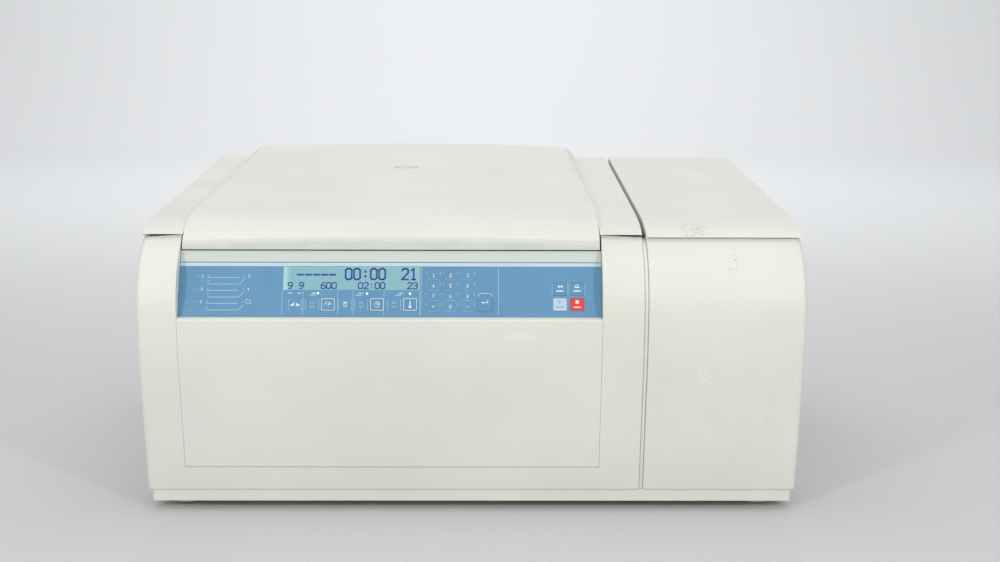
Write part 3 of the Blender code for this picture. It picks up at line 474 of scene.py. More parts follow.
class Recipe:
    """Node tree of one finish."""

    def __init__(self, name, **fixed):
        self.material = bpy.data.materials.new(name)
        self.material.use_nodes = True
        self.tree = self.material.node_tree
        self.shader = self.tree.nodes["Principled BSDF"]
        for socket, value in fixed.items():
            self.shader.inputs[socket.replace("_", " ")].default_value = value
        self.place = self.node("ShaderNodeTexCoord", out="Object")
        self.x, self.y, self.z = (self.node("ShaderNodeSeparateXYZ", {}, {0: self.place}, out=k)
                                  for k in range(3))

    def node(self, kind, settings=None, inputs=None, out=0):
        """Any node: its settings first, then the values or wires of its sockets."""
        made = self.tree.nodes.new(kind)
        for key, value in (settings or {}).items():
            if key == "stops":
                first, last = made.color_ramp.elements
                (first.position, first.color), (last.position, last.color) = value
            else:
                setattr(made, key, value)
        for key, value in (inputs or {}).items():
            if isinstance(value, Wire):
                self.tree.links.new(value.socket, made.inputs[key])
            else:
                made.inputs[key].default_value = value
        return Wire(self, made.outputs[out])

    def maths(self, operation, first, second=0.0):
        return self.node("ShaderNodeMath", {"operation": operation}, {0: first, 1: second})

    def blend(self, factor, first, second):
        """Colour mix; colours are given as wires or as three numbers."""
        pair = [value if isinstance(value, Wire) else (*value, 1.0) for value in (first, second)]
        return self.node("ShaderNodeMix", {"data_type": "RGBA"}, {0: factor, 6: pair[0], 7: pair[1]}, out=2)

    def step(self, value, start, end):
        """0 before start, 1 after end, smooth between them."""
        return self.node("ShaderNodeMapRange", {"interpolation_type": "SMOOTHSTEP"},
                         {0: value, 1: start, 2: end, 3: 0.0, 4: 1.0})

    def noise(self, scale, detail=3.0, rough=0.5, stretch=None, warp=0.0):
        place = self.place
        if stretch:
            place = self.node("ShaderNodeVectorMath", {"operation": "MULTIPLY"}, {0: place, 1: stretch})
        return self.node("ShaderNodeTexNoise", {},
                         {"Vector": place, "Scale": scale, "Detail": detail, "Roughness": rough,
                          "Distortion": warp})

    def around(self, centre, reach):
        """1 at centre, falling to 0 at reach away from it along each axis."""
        shifted = self.node("ShaderNodeVectorMath", {"operation": "SUBTRACT"}, {0: self.place, 1: centre})
        scaled = self.node("ShaderNodeVectorMath", {"operation": "DIVIDE"}, {0: shifted, 1: reach})
        away = self.node("ShaderNodeVectorMath", {"operation": "LENGTH"}, {0: scaled}, out="Value")
        return self.step(1 - away, 0.0, 0.7)

    def ring_distance(self, centre):
        """Distance from the upright axis through centre."""
        dx, dy = self.x - centre[0], self.y - centre[1]
        return self.maths("SQRT", dx * dx + dy * dy)

    def finish(self, base, rough=None, height=None, bump=0.2, depth=0.0005):
        sockets = {"Base Color": base, "Roughness": rough}
        for name, wire in sockets.items():
            if isinstance(wire, Wire):
                self.tree.links.new(wire.socket, self.shader.inputs[name])
            elif wire is not None:
                self.shader.inputs[name].default_value = wire if name == "Roughness" else (*wire, 1.0)
        if height is not None:
            bumped = self.node("ShaderNodeBump", {},
                               {"Strength": bump, "Distance": depth, "Height": height})
            self.tree.links.new(bumped.socket, self.shader.inputs["Normal"])
        return self.material


def tinted(colour_value, factor):
    return tuple(channel * factor for channel in colour_value)


FINISHES = {}


def cream_finish(name, base, scuffs=(), grain=900.0, relief=0.10):
    """Aged cream plastic or paint: mottled tint, fine grain, a few rubbed marks."""
    recipe = Recipe(name, Roughness=0.42, IOR=1.46)
    drift = recipe.noise(6.0, 3.0, 0.55)
    mottled = recipe.blend(recipe.step(drift, 0.35, 0.68), tinted(base, 0.975), tinted(base, 1.02))
    yellowed = recipe.blend(recipe.step(recipe.noise(2.2, 2.0), 0.45, 0.75) * 0.35, mottled,
                            (base[0] * 1.01, base[1] * 0.985, base[2] * 0.93))
    # Colour darkens towards the bottom, below 10 cm, by up to a tenth towards a dull brown.
    bottom_darkening = recipe.step(recipe.z, 0.10, 0.0) * 0.10
    tone = recipe.blend(bottom_darkening, yellowed, (0.52, 0.50, 0.44))
    specks = recipe.step(recipe.noise(420.0, 1.0, 0.4), 0.705, 0.74) * recipe.step(
        recipe.noise(14.0, 2.0), 0.52, 0.62)
    tone = recipe.blend(specks * 0.30, tone, (0.45, 0.42, 0.35))
    marks = None
    for centre, reach, shade, dense in scuffs:
        patch = recipe.around(centre, reach) * recipe.step(recipe.noise(260.0, 5.0, 0.72, warp=0.6),
                                                           dense, dense + 0.09)
        tone = recipe.blend(patch * 0.75, tone, shade)
        marks = patch if marks is None else marks + patch
    grain_height = recipe.noise(grain, 4.0, 0.6)
    roughness = 0.36 + 0.16 * drift + 0.05 * recipe.noise(55.0, 3.0)
    if marks is not None:
        roughness = roughness + 0.25 * marks
    return recipe.finish(tone, roughness, grain_height, relief, 0.0004)


def metal_finish(name, base, rough, rings=None, brushed=None, ring_scale=1800.0):
    """Machined or brushed metal: turning rings round an axis, or a straight grain."""
    recipe = Recipe(name, Metallic=1.0)
    if rings is not None:
        away = recipe.ring_distance(rings)
        grain = recipe.node("ShaderNodeTexNoise", {"noise_dimensions": "1D"},
                            {"W": away * ring_scale, "Scale": 1.0, "Detail": 2.0})
    else:
        grain = recipe.noise(260.0, 3.0, 0.55, stretch=brushed or (1, 1, 1))
    stain = recipe.noise(18.0, 3.0)
    tone = recipe.blend(recipe.step(stain, 0.4, 0.7) * 0.5, base, tinted(base, 0.86))
    roughness = rough + 0.10 * grain + 0.10 * stain
    return recipe.finish(tone, roughness, grain, 0.08, 0.0003)


def plastic_finish(name, base, rough=0.45, grain=700.0, relief=0.12, coat=0.0):
    """Moulded plastic with a fine spark-eroded grain and handling marks."""
    recipe = Recipe(name, IOR=1.48, Coat_Weight=coat)
    drift = recipe.noise(30.0, 3.0)
    tone = recipe.blend(recipe.step(drift, 0.35, 0.7) * 0.6, base, tinted(base, 0.88))
    worn = recipe.step(recipe.noise(8.0, 4.0, 0.6), 0.56, 0.72)
    tone = recipe.blend(worn * 0.18, tone, tinted(base, 1.18) if max(base) < 0.8 else base)
    return recipe.finish(tone, rough - 0.08 + 0.16 * drift, recipe.noise(grain, 3.0, 0.6), relief, 0.0003)


def foil_finish(colours):
    """Printed keypad foil, its colour zones stacked up the slope."""
    recipe = Recipe("keypad_foil", IOR=1.5, Coat_Weight=0.35, Coat_Roughness=0.22)
    up = (recipe.z - CONSOLE_FOOT.z) / CONSOLE_UP.z
    edges = (0.0577, 0.0608, 0.0616, 0.0628)       # band, white line, navy line, grey strip
    edge = 0.00012
    tone = recipe.blend(recipe.step(recipe.noise(25.0, 2.0), 0.3, 0.7), tinted(colours.blue, 0.96),
                        tinted(colours.blue, 1.04))
    shades = (colours.band, tinted(colours.strip, 1.12), colours.navy, colours.strip)
    for start, shade in zip(edges, shades):
        tone = recipe.blend(recipe.step(up, start - edge, start + edge), tone, shade)
    wiped = recipe.noise(9.0, 4.0, 0.62, stretch=(0.35, 1, 1))
    return recipe.finish(tone, 0.30 + 0.16 * wiped, recipe.noise(1500.0, 2.0), 0.05, 0.0002)


def display_finish(colours, left, right, top):
    """Backlit liquid-crystal display, paler where the backlight leaks in at its left and top."""
    recipe = Recipe("display_lit", Roughness=0.18, Coat_Weight=0.6, Coat_Roughness=0.08,
                    Emission_Strength=0.18)
    leak = recipe.step(recipe.x, left + 0.010, left) * 0.75
    leak_top = recipe.step(recipe.z, top - 0.0045, top) * 0.30
    streak = recipe.noise(60.0, 2.0) * 0.10
    tone = recipe.blend(leak + leak_top + streak, colours.display, (0.40, 0.66, 0.68))
    far_end = recipe.step(recipe.x, right - 0.012, right) * 0.25
    tone = recipe.blend(far_end, tone, (0.30, 0.56, 0.54))
    recipe.tree.links.new(tone.socket, recipe.shader.inputs["Emission Color"])
    return recipe.finish(tone, 0.16 + 0.08 * recipe.noise(40.0), recipe.noise(900.0), 0.02, 0.0001)


def printed_finish(name, base, glow=0.0):
    """Screen-printed ink, slightly uneven."""
    recipe = Recipe(name, Roughness=0.4, IOR=1.5, Emission_Strength=glow)
    tone = recipe.blend(recipe.step(recipe.noise(900.0, 2.0), 0.4, 0.65) * 0.5, base, tinted(base, 0.88))
    if glow:
        recipe.tree.links.new(tone.socket, recipe.shader.inputs["Emission Color"])
    return recipe.finish(tone, 0.34 + 0.12 * recipe.noise(120.0), recipe.noise(1200.0), 0.03, 0.0001)


def make_finishes():
    """Every finish, by name."""
    colours = bpy.context.scene.centrifuge_colours
    cream, sheet = tuple(colours.cream), tuple(colours.sheet)
    pale, brown = (0.93, 0.92, 0.88), (0.50, 0.40, 0.30)
    unit_marks = [((0.252, FRONT + 0.052, SEAM_Z + 0.012), (0.026, 0.05, 0.012), (0.46, 0.42, 0.30), 0.50),
                  ((0.292, front_y(0.292), 0.292), (0.011, 0.03, 0.020), brown, 0.56),
                  ((0.262, front_y(0.165), 0.165), (0.011, 0.03, 0.022), pale, 0.50)]
    panel_marks = [((0.055, front_y(0.212), 0.212), (0.026, 0.03, 0.009), pale, 0.48),
                   ((0.108, front_y(0.198), 0.198), (0.012, 0.03, 0.006), brown, 0.60)]
    lid_marks = [((LID_LEFT + 0.12, FRONT + 0.075, TOP_Z - 0.004), (0.10, 0.03, 0.02),
                  (0.62, 0.58, 0.50), 0.62)]
    FINISHES.update(
        cover=cream_finish("cream_cover", cream),
        unit_cover=cream_finish("cream_unit_cover", cream, unit_marks),
        lid=cream_finish("cream_lid", cream, lid_marks),
        panel=cream_finish("cream_panel", sheet, panel_marks, grain=520.0, relief=0.07),
        sheet=cream_finish("cream_sheet", sheet, grain=480.0, relief=0.08),
        deck=cream_finish("cream_deck", tinted(cream, 0.94)),
        grey=plastic_finish("grey_moulding", tuple(colours.grey), 0.42),
        liner=plastic_finish("liner_moulding", tinted(colours.grey, 0.92), 0.50),
        strip=plastic_finish("console_moulding", tuple(colours.strip), 0.40),
        foot=plastic_finish("foot_moulding", tinted(colours.grey, 0.95), 0.55),
        foil=foil_finish(colours),
        key_blue=plastic_finish("key_blue_foil", tuple(colours.blue), 0.34, 1500.0, 0.04, 0.35),
        key_light=plastic_finish("key_light_foil", tuple(colours.key_light), 0.34, 1500.0, 0.04, 0.35),
        key_red=plastic_finish("key_red_foil", tuple(colours.key_red), 0.34, 1500.0, 0.04, 0.35),
        lock=plastic_finish("lock_button_red", tuple(colours.key_red), 0.38, 900.0, 0.08, 0.2),
        white=printed_finish("print_white_ink", (0.86, 0.90, 0.92)),
        faint=printed_finish("print_faint_ink", (0.50, 0.68, 0.80)),
        shade=printed_finish("print_shade_ink", (0.30, 0.42, 0.55)),
        ink=printed_finish("display_ink", tuple(colours.ink)),
        led=printed_finish("led_glow", (0.80, 0.93, 1.00), glow=1.6),
        steel=metal_finish("zinc_plated_steel", (0.60, 0.61, 0.60), 0.24, brushed=(1, 1, 6)),
        chrome=metal_finish("hard_chrome", (0.70, 0.70, 0.71), 0.08, brushed=(1, 1, 3)),
        guard=metal_finish("mill_steel", (0.40, 0.40, 0.40), 0.38, brushed=(1, 1, 5)),
        bowl=metal_finish("spun_stainless", (0.62, 0.63, 0.63), 0.20, rings=ROTOR),
        rotor=metal_finish("machined_aluminium", (0.60, 0.61, 0.63), 0.26, rings=ROTOR, ring_scale=1200.0),
        motor=metal_finish("cast_aluminium", (0.50, 0.51, 0.52), 0.45, brushed=(1, 1, 1)),
        fins=metal_finish("coil_fins", (0.55, 0.56, 0.57), 0.35, brushed=(9, 1, 0.2)),
        black_paint=plastic_finish("black_enamel", (0.018, 0.018, 0.019), 0.32, 500.0, 0.10, 0.3),
        black=plastic_finish("black_nylon", (0.022, 0.022, 0.024), 0.50, 600.0, 0.25),
        rubber=plastic_finish("silicone_rubber", (0.035, 0.035, 0.036), 0.78, 350.0, 0.30),
        dark=plastic_finish("slot_shadow", (0.010, 0.010, 0.010), 0.80, 300.0, 0.20),
    )
    FINISHES["display"] = display_finish(colours, low("display_window").x, high("display_window").x,
                                         high("display_window").z)
    glass = Recipe("clear_window", IOR=1.49, Transmission_Weight=0.20, Coat_Weight=0.3)
    FINISHES["glass"] = glass.finish(
        glass.blend(glass.noise(40.0) * 0.4, (0.80, 0.76, 0.71), (0.74, 0.71, 0.67)),
        0.03 + 0.05 * glass.noise(30.0, 3.0))


# ---- stage ------------------------------------------------------------------------------
class CENTRIFUGE_OT_stage(bpy.types.Operator):
    """Make the camera, the soft lights and the plain floor with its curved backdrop"""
    bl_idname = "centrifuge.stage"
    bl_label = "Stage"

    def execute(self, context):
        scene = context.scene
        scene.view_settings.view_transform = "Standard"
        camera = bpy.data.cameras.new("camera")
        camera.lens = 61.82
        camera.sensor_width = 36.0
        camera.clip_start, camera.clip_end = 0.05, 60.0
        eye = bpy.data.objects.new("camera", camera)
        pitch, yaw, roll = radians(10.69), radians(0.521), radians(0.195)
        eye.matrix_world = (Matrix.Translation((0.0141, -2.2021, 0.6278)) @ Matrix.Rotation(-yaw, 4, "Z")
                            @ Matrix.Rotation(pi / 2 - pitch, 4, "X") @ Matrix.Rotation(roll, 4, "Z"))
        scene.collection.objects.link(eye)
        scene.camera = eye
        self.lamp("soft_top", (0.0, -0.3, 2.6), (0, 0, 0.3), (2.6, 2.2), 14.0, (1.0, 0.995, 0.985))
        self.lamp("key_left", (-1.21, -2.2, 1.2), (0, -0.28, 0.25), (0.22, 0.22), 12.5, (1.0, 0.99, 0.97))
        self.lamp("key_right", (1.21, -2.2, 1.2), (0, -0.28, 0.25), (0.22, 0.22), 12.5, (1.0, 0.99, 0.97))
        self.lamp("fill_rear", (0.0, 2.4, 2.4), (0, 3.6, 0.3), (3.0, 1.6), 60.0, (0.98, 0.99, 1.0))
        world = bpy.data.worlds.new("studio")
        world.use_nodes = True
        sky = world.node_tree.nodes["Background"]
        sky.inputs["Color"].default_value = (0.93, 0.95, 0.97, 1.0)
        sky.inputs["Strength"].default_value = 0.62
        scene.world = world
        recipe = Recipe("studio_floor")
        tint = tuple(context.scene.centrifuge_colours.floor)
        floor_finish = recipe.finish(recipe.blend(recipe.noise(1.5), tint, tinted(tint, 0.98)), 0.65)
        sweep = [(-6.0, -0.0003)] + arc((3.2, 1.4), 1.4003, -90, 0, 24) + [(4.6003, 5.0)]
        floor = trace("floor", [Vector((-8, y, z)) for y, z in sweep], False)
        bpy.ops.mesh.select_all(action="SELECT")
        bpy.ops.mesh.extrude_region_move(TRANSFORM_OT_translate={"value": (16, 0, 0)})
        leave()
        only(floor)
        bpy.ops.object.shade_smooth()
        floor.data.materials.append(floor_finish)
        return {"FINISHED"}

    def lamp(self, name, place, target, size, power, tint):
        """Rectangular soft light that faces target."""
        light = bpy.data.lights.new(name, "AREA")
        light.shape = "RECTANGLE"
        light.size, light.size_y = size
        light.energy = power
        light.color = tint
        obj = bpy.data.objects.new(name, light)
        obj.location = place
        obj.rotation_euler = (Vector(target) - Vector(place)).to_track_quat("-Z", "Y").to_euler()
        bpy.context.scene.collection.objects.link(obj)


# ---- covers -----------------------------------------------------------------------------
def cover_block(name, left, right):
    """Front cover of one unit as a block: outer end well rounded, other end slightly."""
    sizes = bpy.context.scene.centrifuge_sizes
    outline = front_curve() + [(COVER_BACK, SEAM_Z), (COVER_BACK, COVER_BOTTOM)]
    cover = pull(name, outline, "X", left, right)
    for x in (left, right):
        outer_end = near(x, LEFT) or near(x, RIGHT)

        def upright(a, b, x=x):
            ends = near(a.x, x) and near(b.x, x)
            behind = near(a.y, COVER_BACK) and near(b.y, COVER_BACK)
            return ends and not behind and abs(a.z - b.z) > 1e-5
        soften(cover, upright, sizes.side_round if outer_end else sizes.gap_round, 8 if outer_end else 4)
    for z in (SEAM_Z, COVER_BOTTOM):
        def rim(a, b, z=z):
            behind = near(a.y, COVER_BACK) and near(b.y, COVER_BACK)
            return near(a.z, z) and near(b.z, z) and not behind
        soften(cover, rim, sizes.seam_round, 2)
    return cover


def cover_hollow(left, right, bottom, top):
    """Cutter that leaves one wall of a front cover standing in front of it."""
    back = COVER_BACK + 0.02
    return pull("cutter", front_curve(WALL, bottom, top) + [(back, top), (back, bottom)], "X", left, right)


def between(x, ends, values):
    """Value at x on the straight line between two ends."""
    share = min(1.0, max(0.0, (x - ends[0]) / (ends[1] - ends[0])))
    return values[0] + (values[1] - values[0]) * share


def cheek_lift(x):
    """How much the top edges of the front covers rise above the seam, highest beside the lid."""
    if x < PANEL_LEFT + 0.002:
        return between(x, (LEFT, PANEL_LEFT), (0.0009, 0.0045))
    if x < MAIN_RIGHT + 0.001:
        return between(x, (PANEL_RIGHT, MAIN_RIGHT), (0.0047, 0.0017))
    return 0.0020


def shoulder_lift(x):
    """The same for the lower front edges of the top covers."""
    if x < LID_LEFT + 0.002:
        return between(x, (LEFT, LID_LEFT), (0.0008, 0.0028))
    if x < MAIN_RIGHT + 0.001:
        return between(x, (LID_RIGHT, MAIN_RIGHT), (0.0029, 0.0003))
    return -0.0010


def raise_edge(obj, lowest, highest, lift, lean):
    """Raise the front edge that lies between two heights, leaning back as it rises."""
    for vert in obj.data.vertices:
        if vert.co.y < COVER_BACK - 0.0006 and lowest < vert.co.z < highest:
            rise = lift(vert.co.x)
            vert.co.z += rise
            vert.co.y += lean * rise


class CENTRIFUGE_OT_front_covers(bpy.types.Operator):
    """Model the front frame and the cooling unit's front cover"""
    bl_idname = "centrifuge.front_covers"
    bl_label = "Front covers"

    def execute(self, context):
        sizes = context.scene.centrifuge_sizes
        bottom, top = COVER_BOTTOM + WALL, SEAM_Z - WALL
        cover = cover_block("front_frame_cover", LEFT, MAIN_RIGHT)
        carve(cover, block("cutter", (PANEL_LEFT, FRONT - 0.05, PANEL_BOTTOM),
                           (PANEL_RIGHT, FRONT + 0.2, SEAM_Z + 0.05)))

        def opening(a, b):
            on_front = all(abs(p.y - front_y(p.z)) < 3e-4 and p.z < SEAM_Z - 1e-4 for p in (a, b))
            side = any(near(a.x, x) and near(b.x, x) for x in (PANEL_LEFT, PANEL_RIGHT))
            sill = near(a.z, PANEL_BOTTOM) and near(b.z, PANEL_BOTTOM)
            return on_front and (side or sill)
        soften(cover, opening, sizes.opening_round, 4)
        carve(cover, cover_hollow(LEFT + WALL, PANEL_LEFT - WALL, bottom, top),
              cover_hollow(PANEL_RIGHT + WALL, MAIN_RIGHT - WALL, bottom, top))
        foot, back = front_curve()[0][0] + WALL, COVER_BACK + 0.02
        bar_top = PANEL_BOTTOM - WALL
        bar = [(foot, bottom), (foot - 0.004, bar_top), (back, bar_top), (back, bottom)]
        carve(cover, pull("cutter", bar, "X", PANEL_LEFT, PANEL_RIGHT))
        raise_edge(cover, SEAM_Z - 0.0016, SEAM_Z + 0.001, cheek_lift, 0.62)
        done(cover, "housing", "cream_moulding", FINISHES["cover"], "front_frame")
        unit = cover_block("cooling_unit_front", UNIT_LEFT, RIGHT)
        carve(unit, cover_hollow(UNIT_LEFT + WALL, RIGHT - WALL, bottom, top))
        raise_edge(unit, SEAM_Z - 0.0016, SEAM_Z + 0.001, cheek_lift, 0.62)
        done(unit, "housing", "cream_moulding", FINISHES["unit_cover"], "unit_front_cover")
        back = COVER_BACK - 0.002
        divider = front_curve(0.0027, COVER_BOTTOM, DIVIDER_TOP)
        divider += [(back, DIVIDER_TOP), (back, COVER_BOTTOM)]
        strip = pull("unit_divider", divider, "X", MAIN_RIGHT + 0.0004, UNIT_LEFT - 0.0004)
        done(strip, "housing", "cream_sheet", FINISHES["cover"], "bulkhead")
        seam_tongues()
        return {"FINISHED"}


def seam_tongues():
    """Recessed tongues of the top covers that show in the seams above the front covers; their darker deck
    cream is painted shade of the seams.
    """
    section = [(FRONT + 0.0475, 0.3100), (COVER_BACK - 0.0012, 0.3149), (COVER_BACK - 0.0002, 0.3190),
               (COVER_BACK + 0.0035, 0.3190), (COVER_BACK + 0.0035, 0.3100)]
    spans = ((LEFT + 0.006, PANEL_LEFT - 0.001), (PANEL_RIGHT + 0.001, MAIN_RIGHT - 0.001),
             (UNIT_LEFT + 0.001, RIGHT - 0.006))
    tongues = [pull("tongue", section, "X", *span) for span in spans]
    # The deck cream, 6 % darker than the covers' cream, paints the seams' shade onto the tongues.
    done(gather("seam_tongues", tongues), "housing", "cream_moulding", FINISHES["deck"])


class CENTRIFUGE_OT_service_panel(bpy.types.Operator):
    """Model the smooth panel below the console with its round ledge"""
    bl_idname = "centrifuge.service_panel"
    bl_label = "Service panel"

    def execute(self, context):
        sizes = context.scene.centrifuge_sizes
        outer = [p for p in front_curve(0, PANEL_BOTTOM + GAP) if p[1] < LEDGE_Z - sizes.ledge_round]
        corner = [(front_y(LEDGE_Z - sizes.ledge_round), LEDGE_Z - sizes.ledge_round),
                  (FRONT + 0.0001, LEDGE_Z - 0.0012), (CONSOLE_FOOT.y + 0.004, LEDGE_Z)]
        ledge = rounded(corner, sizes.ledge_round, 6)
        inner = [p for p in front_curve(SHEET, PANEL_BOTTOM + GAP) if p[1] < LEDGE_Z - 0.008]
        back = [(CONSOLE_FOOT.y + 0.004, LEDGE_Z - 0.006)]
        ends = (PANEL_LEFT + PANEL_PLAY, PANEL_RIGHT - PANEL_PLAY)
        panel = pull("service_panel", outer + ledge + back + inner[::-1], "X", *ends)

        def rim(a, b):
            outside = all(p.y < front_y(min(p.z, LEDGE_Z - 0.008)) + 0.0006 for p in (a, b))
            side = any(near(a.x, x) and near(b.x, x) for x in ends)
            sill = near(a.z, PANEL_BOTTOM + GAP) and near(b.z, PANEL_BOTTOM + GAP) and not near(a.x, b.x)
            return outside and (side or sill)
        soften(panel, rim, sizes.seam_round, 2)
        done(panel, "housing", "cream_sheet", FINISHES["panel"], "lower_front_panel")
        return {"FINISHED"}


def top_block(name, left, right):
    """Top cover of one unit as a block: curved nose in front, flat above."""
    sizes = bpy.context.scene.centrifuge_sizes
    seam = SEAM_Z + GAP
    cover = pull(name, [(COVER_BACK, seam)] + shoulder_curve() + [(HOUSING_BACK, seam)], "X", left, right)
    for x in (left, right):
        outer_end = near(x, LEFT) or near(x, RIGHT)

        def upper(a, b, x=x):
            ends = near(a.x, x) and near(b.x, x)
            under = near(a.z, seam) and near(b.z, seam)
            behind = near(a.y, HOUSING_BACK) and near(b.y, HOUSING_BACK)
            return ends and not under and not behind
        soften(cover, upper, sizes.side_round if outer_end else sizes.gap_round, 8 if outer_end else 4)

    def rim(a, b):
        behind = near(a.y, HOUSING_BACK) and near(b.y, HOUSING_BACK)
        return near(a.z, seam) and near(b.z, seam) and not behind
    soften(cover, rim, sizes.seam_round, 2)
    return cover


def top_hollow(left, right):
    """Cutter that hollows a top cover from below."""
    seam = SEAM_Z + GAP
    bottom = seam - 0.02
    top = [(min(y, HOUSING_BACK - WALL), z) for y, z in shoulder_curve(WALL)]
    outline = top + [(HOUSING_BACK - WALL, bottom), (top[0][0] + 0.002, bottom)]
    return pull("cutter", outline, "X", left, right)


class CENTRIFUGE_OT_top_covers(bpy.types.Operator):
    """Model the shoulders beside the lid and the cooling unit's top"""
    bl_idname = "centrifuge.top_covers"
    bl_label = "Top covers"

    def execute(self, context):
        cover = top_block("shoulder_cover", LEFT, MAIN_RIGHT)
        well_left, well_right = LID_LEFT - 0.0006, LID_RIGHT + 0.0006
        beam_front, beam_top = HOUSING_BACK - 0.018, 0.318
        carve(cover,
              block("cutter", (well_left, FRONT, SEAM_Z - 0.05), (well_right, beam_front, TOP_Z + 0.05)),
              block("cutter", (well_left, beam_front - 0.01, beam_top),
                    (well_right, HOUSING_BACK + 0.05, TOP_Z + 0.06)))

        def well_edge(a, b):
            side = any(near(a.x, x) and near(b.x, x) for x in (well_left, well_right))
            above_seam = min(a.z, b.z) > SEAM_Z + 0.001 and not near(a.y, HOUSING_BACK)
            return side and above_seam and (a - b).length > 1e-4
        soften(cover, well_edge, 0.0008, 2)
        carve(cover, top_hollow(LEFT + WALL, well_left - WALL),
              top_hollow(well_right + WALL, MAIN_RIGHT - WALL))
        raise_edge(cover, 0.3170, 0.3186, shoulder_lift, 2.5)
        done(cover, "housing", "cream_moulding", FINISHES["cover"], "top_cover")
        unit = top_block("cooling_unit_top", UNIT_LEFT, RIGHT)
        carve(unit, top_hollow(UNIT_LEFT + WALL, RIGHT - WALL))
        raise_edge(unit, 0.3170, 0.3186, shoulder_lift, 0.0)
        done(unit, "housing", "cream_moulding", FINISHES["unit_cover"], "unit_top_cover")
        return {"FINISHED"}


# ---- lid --------------------------------------------------------------------------------
CREST_Y = LID_REAR - 0.006
LID_LOW = 0.3185


def lid_stations():
    """Y, edge height and crest height of the lid from its front to its rear."""
    stations = [(y, z - 0.0004, z) for y, z in nose_curve((LID_FRONT, 0.3174))]
    start = stations[-1][0]
    for step in range(1, 9):
        share = step / 8
        stations.append((start + (CREST_Y - start) * share, TOP_Z + 0.0055 * share,
                         TOP_Z + (LID_TOP - TOP_Z) * share))
    stations += [(CREST_Y + 0.003, TOP_Z + 0.0053, LID_TOP - 0.0010),
                 (CREST_Y + 0.005, TOP_Z + 0.0050, LID_TOP - 0.0030),
                 (LID_REAR, TOP_Z + 0.0045, LID_TOP - 0.006)]
    return stations


def lid_ring(y, edge, crest, wall=0.0, bottom=LID_LOW):
    """Cross-section of the lid: upright sides, sloped shoulders, gently crowned top."""
    rise = max(crest - edge, 0.0006)
    half = LID_HALF - wall
    crown = min(0.0045, 0.35 * rise)
    flank = 0.0005 + min(0.010, rise * 0.9)
    top = [(flank + (half - 0.002 - flank) * share, crest - wall - crown * (1 - share) ** 2)
           for share in (0, 0.08, 0.2, 0.4, 0.7, 1.0)]
    side = rounded([(0, bottom), (0, edge - wall)] + top, 0.004, 4)
    left = [Vector((LID_MIDDLE - half + inward, y, z)) for inward, z in side]
    right = [Vector((LID_MIDDLE + half - inward, y, z)) for inward, z in side]
    return left + right[::-1]


def arch_drop(x, y):
    """How far the lid's front edge sinks away from its middle."""
    fade = max(0.0, 1 - (y - LID_FRONT) / 0.040)
    return bpy.context.scene.centrifuge_sizes.lip_arch * ((x - LID_MIDDLE) / LID_HALF) ** 2 * fade * fade


